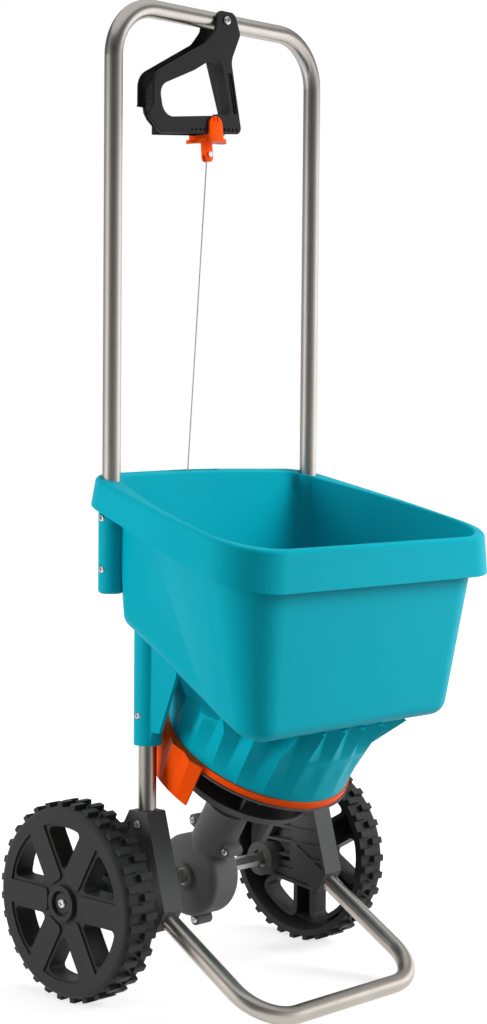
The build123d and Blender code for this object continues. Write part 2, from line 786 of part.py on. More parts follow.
disc_floor = disc_level + disc_wall
disc_hub = 2 * shaft_radius
disc_bore = shaft_radius + seat_play
cone_radius = hub_cone_radius + disc_hub
rim_radius = disc_radius - disc_wall
with BuildPart() as spinner_disc:
    with BuildSketch(rotor_section):
        with BuildLine():
            Polyline(
                (disc_bore, hub_cone_foot + disc_wall),
                (disc_hub, hub_cone_foot + disc_wall),
                (disc_hub, disc_level),
                (cone_radius - disc_wall, disc_level),
                (hub_cone_radius - disc_wall, hub_cone_foot),
                (hub_cone_radius, hub_cone_foot),
                (cone_radius, disc_level),
                (rim_radius, disc_level),
                (disc_radius, disc_level + disc_rim),
                (rim_radius, disc_level + disc_rim),
                (rim_radius - disc_wall, disc_floor),
                (disc_hub, disc_floor),
                (disc_hub, disc_floor + disc_hub),
                (disc_bore, disc_floor + disc_hub),
                close=True,
            )
        make_face()
    revolve(axis=rotor_axis)
    with BuildSketch(rotor.offset(disc_floor)):
        with PolarLocations((disc_hub + rim_radius) / 2, vane_count, 45):
            Rectangle(rim_radius - 2 * disc_hub, disc_wall)
    extrude(amount=vane_height)
spinner_disc.part.label = "spinner_disc"
export_step(spinner_disc.part, "parts/spinner_disc.step")

with BuildPart() as agitator:
    with BuildSketch(rotor.offset(agitator_level)):
        Circle(disc_hub)
        Rectangle(2 * agitator_reach, shaft_radius)
        Circle(disc_bore, mode=Mode.SUBTRACT)
    extrude(amount=disc_hub)
agitator.part.label = "agitator"
export_step(agitator.part, "parts/agitator.step")

# Outlet plate: a flanged plate that plugs the funnel, with two outlets and rails for the gate
collar_radius = lip_radius - lip_wall - seat_play
outlet_middle = outlet_inset + outlet_width / 2
rail_outer = gate_half_width + moving_gap + gate_rail
rail_length = 2 * sqrt(collar_radius**2 - rail_outer**2)
with BuildPart() as outlet_plate:
    with BuildSketch(rotor.offset(plate_level)):
        Circle(plate_radius)
    extrude(amount=plate_thickness)
    with BuildSketch(rotor.offset(plate_top)):
        Circle(collar_radius)
        Circle(collar_radius - plate_collar_wall, mode=Mode.SUBTRACT)
    extrude(amount=lip_level + lip_height - plate_top)
    with BuildSketch(rotor.offset(plate_top)):
        Circle(disc_hub)
    extrude(amount=disc_hub)
    for side in (-1, 1):
        with BuildSketch(rotor.offset(gate_level - moving_gap)):
            with Locations((side * (rail_outer - gate_rail / 2), 0)):
                Rectangle(gate_rail, rail_length)
        extrude(amount=plate_level - gate_level + moving_gap)
        with BuildSketch(rotor.offset(gate_level - moving_gap)):
            with Locations((side * (rail_outer - gate_rail), 0)):
                Rectangle(2 * gate_rail, rail_length)
        extrude(amount=-plate_thickness)
    with BuildSketch(rotor.offset(plate_level)):
        with Locations((-outlet_middle, 0), (outlet_middle, 0)):
            Rectangle(outlet_width, outlet_length)
        Circle(shaft_radius + fit_play)
    extrude(amount=lip_level, mode=Mode.SUBTRACT)
outlet_plate.part.label = "outlet_plate"
export_step(outlet_plate.part, "parts/outlet_plate.step")

# Wire and lever points
slope_x = cos(radians(clip_slope))
slope_z = sin(radians(clip_slope))
clip_z = handle_height - clip_drop
barrel_x = clip_offset + barrel_drop * slope_z
barrel_z = clip_z - barrel_drop * slope_x
guide_z = rim_height + wire_guide * rim_sin / rim_cos

# Metering gate, shut at rest, with a tail for the wire
gate_front = -outlet_length / 2 - gate_margin - gate_travel - outlet_length / 2
gate_rear = outlet_length / 2 + gate_margin
with BuildPart() as metering_gate:
    with BuildSketch(rotor.offset(gate_level)):
        with Locations((0, (gate_front + gate_rear) / 2)):
            Rectangle(2 * gate_half_width, gate_rear - gate_front)
        with Locations((barrel_x, (gate_rear + gate_tail_reach + gate_margin) / 2)):
            Rectangle(gate_tail_width, gate_tail_reach + gate_margin - gate_rear)
        with Locations((-outlet_middle, -gate_travel), (outlet_middle, -gate_travel)):
            Rectangle(outlet_width, outlet_length, mode=Mode.SUBTRACT)
        with Locations((0, -gate_travel / 2)):
            SlotCenterToCenter(
                gate_travel, 2 * shaft_radius + 2 * moving_gap, rotation=90, mode=Mode.SUBTRACT
            )
        with Locations((barrel_x, gate_tail_reach)):
            SlotOverall(wire_eye_length, wire_eye_width, rotation=90, mode=Mode.SUBTRACT)
    extrude(amount=gate_thickness)
metering_gate.part.label = "metering_gate"
export_step(metering_gate.part, "parts/metering_gate.step")

# Deflector: a ring held between the funnel and the plate, with a pleated apron on one side
ring_foot = plate_top + moving_gap
ring_head = lip_level - moving_gap
ring_inner = collar_radius + moving_gap
flap_step = (flap_end - flap_start) / (2 * flap_pleats)
flap_inner = (plate_radius + moving_gap) / cos(radians(flap_step / 2))


def flap_section(level, depth):
    angles = [radians(flap_start + step * flap_step) for step in range(2 * flap_pleats + 1)]
    outside = []
    inside = []
    for step, angle in enumerate(angles):
        radius = flap_inner + depth * (step % 2)
        inside.append((radius * cos(angle), radius * sin(angle)))
        outside.append(((radius + flap_wall) * cos(angle), (radius + flap_wall) * sin(angle)))
    with BuildSketch(rotor.offset(level)) as section:
        with BuildLine():
            Polyline(outside + inside[::-1], close=True)
        make_face()
    return section.sketch


with BuildPart() as deflector_ring:
    with BuildSketch(rotor.offset(ring_foot)):
        Circle(deflector_radius)
        Circle(ring_inner, mode=Mode.SUBTRACT)
    extrude(amount=ring_head - ring_foot)
    with BuildSketch(rotor.offset(ring_foot)):
        with BuildLine():
            outside = CenterArc((0, 0), flap_inner + flap_wall, flap_start, flap_end - flap_start)
            inside = CenterArc((0, 0), ring_inner + flap_wall, flap_start, flap_end - flap_start)
            Line(outside @ 0, inside @ 0)
            Line(outside @ 1, inside @ 1)
        make_face()
    extrude(amount=ring_head - ring_foot)
    loft([flap_section(flap_bottom, 0.0), flap_section(ring_head, flap_pleat_depth)], ruled=True)
deflector_ring.part.label = "deflector_ring"
export_step(deflector_ring.part, "parts/deflector_ring.step")


# Hopper: outlines with rounded corners, bowed sides and a bowed rear edge
def tub_outline(plane, half_front, half_side, half_rear, front, rear, bow, front_corner, rear_corner):
    side_y = -side_share * front
    with BuildSketch(plane) as outline:
        with BuildLine():
            FilletPolyline(
                (-half_front, -front),
                (half_front, -front),
                (half_side, side_y),
                (half_rear, rear),
                (0, rear + bow),
                (-half_rear, rear),
                (-half_side, side_y),
                radius=[
                    front_corner,
                    front_corner,
                    side_bow_radius,
                    rear_corner,
                    rear_bow_radius,
                    rear_corner,
                    side_bow_radius,
                ],
                close=True,
            )
        make_face()
    return outline.sketch


def rim_face(plane, growth, spread, tail):
    return tub_outline(
        plane,
        rim_half_front + growth,
        rim_half_side + growth,
        rim_half_rear + growth + spread,
        rim_front + growth,
        rim_rear + growth + tail,
        rim_bow,
        rim_front_corner,
        rim_rear_corner + spread,
    )


def floor_face(level, growth):
    return tub_outline(
        rotor.offset(level),
        floor_half_front + growth,
        floor_half_side + growth,
        floor_half_rear + growth,
        floor_front + growth,
        floor_rear + growth,
        floor_bow,
        floor_front_corner + growth,
        floor_rear_corner + growth,
    )


# The funnel is a star that fades into a circle, its ridges follow the outline of the tub
def star_face(level, inset, fade):
    points = []
    for step in range(2 * pleat_count):
        angle = radians(step * 180 / pleat_count - 90)
        along = floor_rear if sin(angle) > 0 else floor_front
        across_share = abs(cos(angle) / pleat_half_width) ** 4
        along_share = abs(sin(angle) / (along - pleat_inset)) ** 4
        reach = (across_share + along_share) ** -0.25
        corner = reach if step % 2 else pleat_root
        radius = corner + (lip_radius - corner) * fade - inset
        points.append((radius * cos(angle), radius * sin(angle)))
    with BuildSketch(rotor.offset(level)) as star:
        with BuildLine():
            Polyline(points, close=True)
        make_face()
    return star.sketch


with BuildPart() as tube_sockets:
    with Locations((-handle_half_width, handle_y, socket_foot), (handle_half_width, handle_y, socket_foot)):
        Cylinder(socket_radius, rim_height - socket_foot + socket_radius, align=centred_up)
    split(bisect_by=rim_plane, keep=Keep.BOTTOM)
    fillet(tube_sockets.faces().filter_by(Axis.Z).edges(), socket_round)

with BuildPart() as tub_cavity:
    floor_top = floor_level + hopper_wall
    loft([floor_face(floor_top, 0.0), rim_face(rim_plane.offset(hopper_wall), 0.0, 0.0, 0.0)], ruled=True)
    fillet(tub_cavity.faces().sort_by(rotor_axis)[0].edges(), floor_round - hopper_wall)

web_front = leg_y - web_reach
with BuildPart() as hopper:
    apron_outside = [
        rim_face(apron_plane, apron_reach, rim_spread, rim_tail),
        rim_face(rim_plane, rim_overhang, rim_spread, rim_tail),
    ]
    loft(apron_outside, ruled=True)
    fillet(hopper.faces().sort_by(rim_axis)[-1].edges(), rim_edge_round)
    apron_inside = [
        rim_face(apron_plane.offset(-moving_gap), apron_reach - hopper_wall, rim_spread, rim_tail),
        rim_face(rim_plane.offset(-hopper_wall), rim_overhang - hopper_wall, rim_spread, rim_tail),
    ]
    loft(apron_inside, ruled=True, mode=Mode.SUBTRACT)
    tub_outside = [
        floor_face(floor_level, hopper_wall),
        rim_face(rim_plane.offset(-hopper_wall / 2), hopper_wall, 0.0, 0.0),
    ]
    loft(tub_outside, ruled=True)
    fillet(hopper.faces().sort_by(rotor_axis)[0].edges(), floor_round)
    funnel_outside = [
        star_face(lip_level, 0.0, 1.0),
        star_face(funnel_waist, 0.0, funnel_waist_fade),
        star_face(floor_level + hopper_wall, 0.0, 0.0),
    ]
    loft(funnel_outside, ruled=True)
    with BuildSketch(rotor.offset(lip_level)):
        Circle(lip_radius)
    extrude(amount=lip_height)
    for side in (-1, 1):
        with BuildSketch(Plane((side * leg_half_width, leg_y, sleeve_foot))):
            Circle(sleeve_radius)
        extrude(amount=leg_head + 2 * sleeve_radius - sleeve_foot)
        with BuildSketch(Plane.YZ.offset(side * web_half_width - web_thickness / 2)):
            with BuildLine():
                Polyline(
                    (leg_y, sleeve_foot + sleeve_radius),
                    (web_front / 2 + leg_y / 2, sleeve_foot + sleeve_radius),
                    (web_front, leg_head - 2 * sleeve_radius),
                    (web_front, leg_head),
                    (leg_y, leg_head + 2 * sleeve_radius),
                    close=True,
                )
            make_face()
        extrude(amount=web_thickness)
    with BuildSketch(Plane.XY.offset(handle_screw_levels[1])):
        for side in (-1, 1):
            with Locations((side * (handle_half_width - socket_radius), handle_y)):
                Rectangle(2 * socket_radius, web_thickness)
    extrude(amount=rim_height - hopper_wall / 2 - handle_screw_levels[1])
    add(tub_cavity.part, mode=Mode.SUBTRACT)
    funnel_inside = [
        star_face(lip_level, lip_wall + pleat_wall / 2, 1.0),
        star_face(funnel_waist, pleat_wall, funnel_waist_fade),
        star_face(floor_level + 2 * hopper_wall, pleat_wall, 0.0),
    ]
    loft(funnel_inside, ruled=True, mode=Mode.SUBTRACT)
    rim_edges = hopper.faces().sort_by(rim_axis)[-1].inner_wires()[0].edges()
    fillet(rim_edges, rim_inner_round)
    add(tube_sockets.part)
    with BuildSketch(rotor.offset(lip_level)):
        Circle(lip_radius - lip_wall)
    extrude(amount=lip_height, mode=Mode.SUBTRACT)
    with Locations((-handle_half_width, handle_y, handle_foot), (handle_half_width, handle_y, handle_foot)):
        Cylinder(tube_hole, rim_height, align=centred_up, mode=Mode.SUBTRACT)
    with Locations((-leg_half_width, leg_y, leg_head), (leg_half_width, leg_y, leg_head)):
        Cylinder(tube_hole, leg_head, align=centred_down, mode=Mode.SUBTRACT)
    with BuildSketch(rim_plane):
        with Locations((wire_slot_middle, wire_guide / rim_cos)):
            SlotOverall(wire_slot_length, wire_slot_width)
    extrude(amount=-2 * hopper_wall, mode=Mode.SUBTRACT)
    screw_holes(handle_screw_planes + leg_screw_planes)
    screw_seats(handle_screw_planes + leg_screw_planes)
hopper.part.label = "hopper"
export_step(hopper.part, "parts/hopper.step")

# Screws into the tubes
with BuildPart() as handle_screws:
    with Locations(*handle_screw_planes):
        screw(screw_diameter, screw_head, screw_length)
handle_screws.part.label = "handle_screws"
export_step(handle_screws.part, "parts/handle_screws.step")

with BuildPart() as leg_screws:
    with Locations(*leg_screw_planes):
        screw(screw_diameter, screw_head, screw_length)
leg_screws.part.label = "leg_screws"
export_step(leg_screws.part, "parts/leg_screws.step")

with BuildPart() as bracket_screws:
    with Locations(*bracket_screw_planes):
        screw(screw_diameter, screw_head, screw_length)
bracket_screws.part.label = "bracket_screws"
export_step(bracket_screws.part, "parts/bracket_screws.step")

# Lever: two plates joined by a web round the finger hole, straddling the grip bar
lever_plane = Plane((0, handle_y + lever_depth / 2, handle_height), x_dir=(1, 0, 0), z_dir=(0, -1, 0))
with BuildSketch() as lever_outline:
    with BuildLine():
        FilletPolyline(
            (-15, 10.5),
            (14, 10.5),
            (23.5, -13),
            (9, -44),
            (27, -124.5),
            (-101, -135.5),
            (-121, -117),
            (-113, -104),
            (-113, -72),
            (-31, -28),
            (-17, -12),
            radius=[10, 10, 7, 20, 7, 12, 4, 4, 22, 16, 10],
            close=True,
        )
    make_face()
with BuildSketch() as finger_hole:
    with BuildLine():
        FilletPolyline(
            (-9, -38),
            (-50, -61),
            (-104, -84),
            (-97, -117.4),
            (8, -105),
            radius=[12, 20, 14, 16, 6],
            close=True,
        )
    make_face()
with BuildSketch() as finger_web:
    offset(finger_hole.sketch, amount=lever_web)

with BuildPart() as squeeze_lever:
    with BuildSketch(lever_plane):
        add(lever_outline.sketch)
    extrude(amount=lever_depth)
    with BuildSketch(lever_plane.offset(lever_plate)):
        Rectangle(lever_blank, lever_blank)
        add(finger_web.sketch, mode=Mode.SUBTRACT)
    extrude(amount=lever_depth - 2 * lever_plate, mode=Mode.SUBTRACT)
    with BuildSketch(lever_plane):
        add(finger_hole.sketch)
        Circle(bolt_diameter / 2 + fit_play)
    extrude(amount=lever_depth, mode=Mode.SUBTRACT)
    fillet(squeeze_lever.faces().sort_by(Axis.Y)[0].outer_wire().edges(), lever_edge_round)
    fillet(squeeze_lever.faces().sort_by(Axis.Y)[-1].outer_wire().edges(), lever_edge_round)
    with BuildSketch(lever_plane):
        with BuildLine():
            Polyline(
                (-130, -106),
                (-104, -106),
                (-103, -112),
                (-98, -119),
                (-90, -125),
                (-90, -140),
                (-130, -140),
                close=True,
            )
        make_face()
    extrude(amount=lever_depth - lever_plate, mode=Mode.SUBTRACT)
    with BuildSketch(lever_plane.offset(lever_depth - lever_plate)):
        with BuildLine():
            FilletPolyline((1.5, -58), (9, -58), (19, -103), (12.5, -103), radius=2.0, close=True)
        make_face()
        with Locations(Location((clip_offset, scale_hole_rise - clip_drop), clip_slope)):
            with GridLocations(scale_pitch, 1, scale_count, 1):
                Rectangle(scale_hole, scale_hole)
    extrude(amount=lever_plate, mode=Mode.SUBTRACT)
squeeze_lever.part.label = "squeeze_lever"
export_step(squeeze_lever.part, "parts/squeeze_lever.step")

# Pivot bolt and nut
with BuildPart() as lever_bolt:
    with BuildSketch(lever_plane.offset(-moving_gap - nut_height)):
        Circle(bolt_diameter / 2)
    extrude(amount=lever_depth + 2 * moving_gap + nut_height)
    with BuildSketch(lever_plane.offset(lever_depth + moving_gap)):
        Circle(bolt_head / 2)
    extrude(amount=bolt_head_height)
lever_bolt.part.label = "lever_bolt"
export_step(lever_bolt.part, "parts/lever_bolt.step")

with BuildPart() as lever_nut:
    with BuildSketch(lever_plane.offset(-moving_gap)):
        RegularPolygon(nut_flats / sqrt(3), 6)
        Circle(bolt_diameter / 2 + seat_play, mode=Mode.SUBTRACT)
    extrude(amount=-nut_height)
lever_nut.part.label = "lever_nut"
export_step(lever_nut.part, "parts/lever_nut.step")

# Dose clip on the lower bar of the lever
clip_centre = (clip_offset, handle_y, clip_z)
clip_along = (slope_x, 0, slope_z)
clip_plane = Plane(clip_centre, x_dir=clip_along, z_dir=(-slope_z, 0, slope_x))
clip_side = Plane(clip_centre, x_dir=clip_along, z_dir=(0, -1, 0))
tongue_inner = lever_depth / 2 + moving_gap
tongue_outer = tongue_inner + clip_wall
clip_foot = moving_gap + clip_base
with BuildPart() as dose_clip:
    with BuildSketch(clip_plane.offset(-moving_gap)):
        SlotOverall(clip_wing_length, clip_wing_width)
        Rectangle(clip_tongue_width, 2 * tongue_outer)
    extrude(amount=-clip_base)
    for start in (tongue_inner, -tongue_outer):
        with BuildSketch(clip_side.offset(start)):
            with Locations((0, (clip_tongue_height - clip_foot) / 2 - clip_tongue_width / 4)):
                Rectangle(clip_tongue_width, clip_tongue_height + clip_foot - clip_tongue_width / 2)
            with Locations((0, clip_tongue_height - clip_tongue_width / 2)):
                Circle(clip_tongue_width / 2)
        extrude(amount=clip_wall)
    with BuildSketch(clip_plane.offset(-clip_foot)):
        RectangleRounded(clip_stem_width, clip_stem_depth, clip_wall)
    extrude(amount=-clip_stem_length)
    with BuildSketch(clip_side.offset(-clip_stem_depth / 2)):
        with Locations((0, -barrel_drop)):
            Circle(barrel_radius + fit_play)
    extrude(amount=clip_stem_depth, mode=Mode.SUBTRACT)
    with BuildSketch(clip_plane.offset(-barrel_drop)):
        Rectangle(2 * clip_stem_width, clip_slit)
    extrude(amount=-clip_stem_length, mode=Mode.SUBTRACT)
dose_clip.part.label = "dose_clip"
export_step(dose_clip.part, "parts/dose_clip.step")

# Wire in two stretches, the upper one on a barrel that turns in the clip
barrel_centre = Vector(barrel_x, handle_y, barrel_z)
guide_centre = Vector(barrel_x, handle_y + wire_guide, guide_z)
tail_centre = rotor.from_local_coords(Vector(barrel_x, gate_tail_reach, gate_level + gate_thickness / 2))
upper_plane = Plane(barrel_centre, z_dir=guide_centre - barrel_centre)
lower_plane = Plane(tail_centre, z_dir=guide_centre - tail_centre)
upper_length = (guide_centre - barrel_centre).length + wire_tail
lower_length = (guide_centre - tail_centre).length - link_gap
with BuildPart() as wire_barrel:
    with BuildSketch(clip_side.offset(-barrel_length / 2)):
        with Locations((0, -barrel_drop)):
            Circle(barrel_radius)
    extrude(amount=barrel_length)
    with BuildSketch(upper_plane):
        Circle(wire_diameter / 2 + seat_play)
    extrude(amount=2 * barrel_radius, mode=Mode.SUBTRACT)
wire_barrel.part.label = "wire_barrel"
export_step(wire_barrel.part, "parts/wire_barrel.step")

with BuildPart() as pull_wire:
    with BuildSketch(upper_plane):
        Circle(wire_diameter / 2)
    extrude(amount=upper_length)
pull_wire.part.label = "pull_wire"
export_step(pull_wire.part, "parts/pull_wire.step")

with BuildPart() as gate_wire:
    with BuildSketch(lower_plane.offset(-link_foot)):
        Circle(wire_diameter / 2)
    extrude(amount=lower_length + link_foot)
    with Locations(lower_plane.offset(-link_foot)):
        Sphere(link_ball_radius)
gate_wire.part.label = "gate_wire"
export_step(gate_wire.part, "parts/gate_wire.step")
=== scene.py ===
import math

import bmesh
import bpy
from mathutils import Matrix, Vector


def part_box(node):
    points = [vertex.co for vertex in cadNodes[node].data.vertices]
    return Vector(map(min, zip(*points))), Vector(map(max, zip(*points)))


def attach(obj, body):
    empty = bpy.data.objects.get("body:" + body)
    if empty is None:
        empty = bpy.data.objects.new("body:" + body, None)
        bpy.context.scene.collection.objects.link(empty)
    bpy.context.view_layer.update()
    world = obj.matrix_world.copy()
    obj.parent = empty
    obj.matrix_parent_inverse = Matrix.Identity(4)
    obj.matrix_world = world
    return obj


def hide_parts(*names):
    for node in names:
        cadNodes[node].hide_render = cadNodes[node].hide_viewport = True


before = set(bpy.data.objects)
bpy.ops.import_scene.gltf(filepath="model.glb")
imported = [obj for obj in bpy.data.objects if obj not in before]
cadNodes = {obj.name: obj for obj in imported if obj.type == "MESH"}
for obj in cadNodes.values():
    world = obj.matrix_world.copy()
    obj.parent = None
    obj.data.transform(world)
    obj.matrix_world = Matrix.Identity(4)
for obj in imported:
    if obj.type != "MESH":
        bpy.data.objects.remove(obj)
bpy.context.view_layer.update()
scene = bpy.context.scene
scene.view_settings.view_transform = "Standard"
print("frame loaded,", len(cadNodes), "solids")

# camera, from the vanishing lines of the tubes
cameraLook = {
    "place": (-1.6632, -1.57788, 0.6607),
    "azimuth": 46.211,
    "pitch": 3.128,
    "roll": 0.504,
    "lens": 71.59,
    "sensor": 36,
    "clip": (0.05, 100),
}


def setCamera(look):
    turn, pitch, roll = (math.radians(look[k]) for k in ("azimuth", "pitch", "roll"))
    level = math.cos(pitch)
    ahead = Vector((math.sin(turn) * level, math.cos(turn) * level, -math.sin(pitch)))
    right = Vector((math.cos(turn), -math.sin(turn), 0))
    up = right.cross(ahead)
    side = right * math.cos(roll) + up * math.sin(roll)
    top = up * math.cos(roll) - right * math.sin(roll)
    data = bpy.data.cameras.new("camera")
    data.lens = look["lens"]
    data.sensor_width = look["sensor"]
    data.clip_start, data.clip_end = look["clip"]
    camera = bpy.data.objects.new("camera", data)
    scene.collection.objects.link(camera)
    turned = Matrix((side, top, -ahead)).transposed().to_4x4()
    camera.matrix_world = Matrix.Translation(look["place"]) @ turned
    scene.camera = camera


setCamera(cameraLook)
print("camera set")


# helpers for node trees and plain shapes
def wire(tree, *pairs):
    for output, socket in pairs:
        tree.links.new(output, socket)


def feed(tree, socket, value):
    if isinstance(value, bpy.types.NodeSocket):
        tree.links.new(value, socket)
    else:
        socket.default_value = value


def mathNode(tree, operation, first, second):
    node = tree.nodes.new("ShaderNodeMath")
    node.operation = operation
    feed(tree, node.inputs[0], first)
    feed(tree, node.inputs[1], second)
    return node.outputs[0]


def mapRange(tree, value, source, target):
    node = tree.nodes.new("ShaderNodeMapRange")
    tree.links.new(value, node.inputs["Value"])
    node.inputs["From Min"].default_value, node.inputs["From Max"].default_value = source
    node.inputs["To Min"].default_value, node.inputs["To Max"].default_value = target
    return node.outputs["Result"]


def newMaterial(name):
    material = bpy.data.materials.new(name)
    material.use_nodes = True
    return material, material.node_tree, material.node_tree.nodes["Principled BSDF"]


def emptyTree(owner, outputKind):
    owner.use_nodes = True
    tree = owner.node_tree
    tree.nodes.clear()
    return tree, tree.nodes.new(outputKind).inputs["Surface"]


def grey(tone):
    return tone, tone, tone, 1


def ovalPoints(width, depth, sides):
    angles = [math.tau * k / sides for k in range(sides)]
    return [(width * math.cos(a), depth * math.sin(a)) for a in angles]


def halfRound(radius, level, start, segments):
    angles = [start + math.pi * k / segments for k in range(segments + 1)]
    return [(radius * math.cos(a), level + radius * math.sin(a)) for a in angles]


def newPiece(name, mesh):
    obj = bpy.data.objects.new(name, mesh)
    scene.collection.objects.link(obj)
    return obj


# studio: soft boxes left and right, and a round screen that the metal mirrors
studio = {
    "fill": 0.19,
    "backdrop": 1,
    "boxes": [
        ("leftBox", (-2.45, 1.3, 1.05), 1.3, 1.9, 60),
        ("rightBox", (2.05, -1.95, 1.8), 1.3, 1.9, 106),
        ("topBox", (0.1, 0.3, 3.0), 1.6, 1.6, 28),
    ],
    "aim": (0, 0, 0.6),
    "screenRadius": 2.9,
    "screenHeight": 3.4,
    "screenSides": 64,
    "screenFacing": -136.4,
    "screenPeak": 2.4,
    "screenTop": 0.5,
    "screenFade": (1.3, 1.6),
    # degrees from the front of the screen, to the right, and how bright it is there
    "screenTones": [
        (-180, 0.8), (-140, 0.55), (-105, 0.6), (-82, 1.3), (-67, 1.9), (-52, 1.2),
        (-36, 0.45), (-15, 0.2), (0, 0.2), (20, 0.24), (40, 0.36), (60, 0.7),
        (80, 1.4), (100, 2.3), (118, 2.1), (145, 1.2), (180, 0.8),
    ],
    "floorCardSize": 1.5,
    "floorCardPlace": (-0.95, -0.9, 0.002),
    "floorCardTone": 0.12,
    "floorCardRough": 0.9,
    "floorSize": 60,
    "floorTone": 0.5,
    "floorGlow": (0.70, 0.95),  # near the object and far from it
    "floorFade": (0.6, 3.2),
}


def plainPlane(name, size):
    mesh = bpy.data.meshes.new(name)
    h = size / 2
    mesh.from_pydata([(-h, -h, 0), (h, -h, 0), (h, h, 0), (-h, h, 0)], [], [(0, 1, 2, 3)])
    obj = newPiece(name, mesh)
    return obj


# 1 for rays from the camera, mirrored ones too
def seenRays(tree):
    path = tree.nodes.new("ShaderNodeLightPath").outputs
    seen = mathNode(tree, "MAXIMUM", path["Is Camera Ray"], path["Is Glossy Ray"])
    return mathNode(tree, "MAXIMUM", seen, path["Is Transmission Ray"])


def setLights(s):
    world = bpy.data.worlds.new("studio")
    scene.world = world
    tree, surface = emptyTree(world, "ShaderNodeOutputWorld")
    mix = tree.nodes.new("ShaderNodeMixShader")
    wire(tree, (seenRays(tree), mix.inputs[0]), (mix.outputs[0], surface))
    for socket, strength in ((mix.inputs[1], s["fill"]), (mix.inputs[2], s["backdrop"])):
        light = tree.nodes.new("ShaderNodeBackground")
        light.inputs["Color"].default_value = grey(1)
        light.inputs["Strength"].default_value = strength
        tree.links.new(light.outputs[0], socket)
    for name, place, width, height, power in s["boxes"]:
        data = bpy.data.lights.new(name, "AREA")
        data.shape = "RECTANGLE"
        data.size, data.size_y, data.energy = width, height, power
        lamp = newPiece(name, data)
        lamp.location = place
        lamp.visible_glossy = False  # the round screen makes the gloss
        toAim = Vector(s["aim"]) - Vector(place)
        lamp.rotation_euler = toAim.to_track_quat("-Z", "Y").to_euler()


def setFloor(s):
    floor = plainPlane("floor", s["floorSize"])
    material = bpy.data.materials.new("paleFloor")
    tree, surface = emptyTree(material, "ShaderNodeOutputMaterial")
    matt = tree.nodes.new("ShaderNodeBsdfDiffuse")
    matt.inputs["Color"].default_value = grey(s["floorTone"])
    glow = tree.nodes.new("ShaderNodeEmission")
    coordinates = tree.nodes.new("ShaderNodeTexCoord")
    distance = tree.nodes.new("ShaderNodeVectorMath")
    distance.operation = "LENGTH"
    tree.links.new(coordinates.outputs["Object"], distance.inputs[0])
    fade = mapRange(tree, distance.outputs["Value"], s["floorFade"], s["floorGlow"])
    both = tree.nodes.new("ShaderNodeAddShader")
    wire(
        tree,
        (mathNode(tree, "MULTIPLY", seenRays(tree), fade), glow.inputs["Strength"]),
        (matt.outputs[0], both.inputs[0]),
        (glow.outputs[0], both.inputs[1]),
        (both.outputs[0], surface),
    )
    floor.data.materials.append(material)


def screenPaper(s):
    paper = bpy.data.materials.new("screenPaper")
    tree, surface = emptyTree(paper, "ShaderNodeOutputMaterial")
    shine = tree.nodes.new("ShaderNodeEmission")
    coordinates = tree.nodes.new("ShaderNodeTexCoord")
    split = tree.nodes.new("ShaderNodeSeparateXYZ")
    tree.links.new(coordinates.outputs["Object"], split.inputs[0])
    angle = mathNode(tree, "ARCTAN2", split.outputs["Y"], split.outputs["X"])
    share = mapRange(tree, angle, (-math.pi, math.pi), (0, 1))
    levels = (s["screenPeak"], s["screenTop"])
    strength = mapRange(tree, split.outputs["Z"], s["screenFade"], levels)
    ramp = tree.nodes.new("ShaderNodeValToRGB")
    ramp.color_ramp.interpolation = "EASE"
    stops, last = ramp.color_ramp.elements, len(s["screenTones"]) - 1
    for index, (degrees, tone) in enumerate(s["screenTones"]):
        place = (degrees + 180) / 360
        stop = stops[index] if index in (0, last) else stops.new(place)
        stop.position = place
        stop.color = grey(tone / s["screenPeak"])
    wire(
        tree,
        (share, ramp.inputs["Fac"]),
        (strength, shine.inputs["Strength"]),
        (ramp.outputs["Color"], shine.inputs["Color"]),
        (shine.outputs[0], surface),
    )
    return paper


# dark card on the floor and the round screen, seen in reflections alone
def setReflectors(s):
    card = plainPlane("floorCard", s["floorCardSize"])
    card.location = s["floorCardPlace"]
    cloth, tree, shader = newMaterial("darkCloth")
    shader.inputs["Base Color"].default_value = grey(s["floorCardTone"])
    shader.inputs["Roughness"].default_value = s["floorCardRough"]
    card.data.materials.append(cloth)

    sides = s["screenSides"]
    ring = ovalPoints(s["screenRadius"], s["screenRadius"], sides)
    mesh = bpy.data.meshes.new("roundScreen")
    mesh.from_pydata(
        [(x, y, z) for z in (0, s["screenHeight"]) for x, y in ring],
        [],
        [((k + 1) % sides, k, k + sides, (k + 1) % sides + sides) for k in range(sides)],
    )
    screen = newPiece("roundScreen", mesh)
    screen.rotation_euler = (0, 0, math.radians(s["screenFacing"]))
    screen.data.materials.append(screenPaper(s))
    for obj in (card, screen):
        obj.visible_camera = False
        obj.visible_diffuse = False
        obj.visible_shadow = False
        obj.visible_transmission = False


setLights(studio)
setFloor(studio)
setReflectors(studio)
print("studio set")

# shared surface effects, each noise with its detail and roughness
grainLook = {
    "grainScale": 1600.0,
    "cloudScale": 9.0,
    "fine": (3.0, 0.6),
    "cloud": (3.0, 0.55),
    "fineShare": 0.35,
    "cloudShare": 0.65,
    "depth": 0.0004,
}
brushLook = {
    "lineScale": 900.0,
    "stainScale": 14.0,
    "lines": (3.0, 0.6),
    "stain": (4.0, 0.6),
    "depth": 0.0002,
}
dustLook = {
    "amount": 0.1,
    "patchScale": 70.0,
    "patch": (5.0, 0.65),
    "colour": (0.55, 0.53, 0.49),
}
noiseSpan = (0.25, 0.75)  # most of a noise lies in here


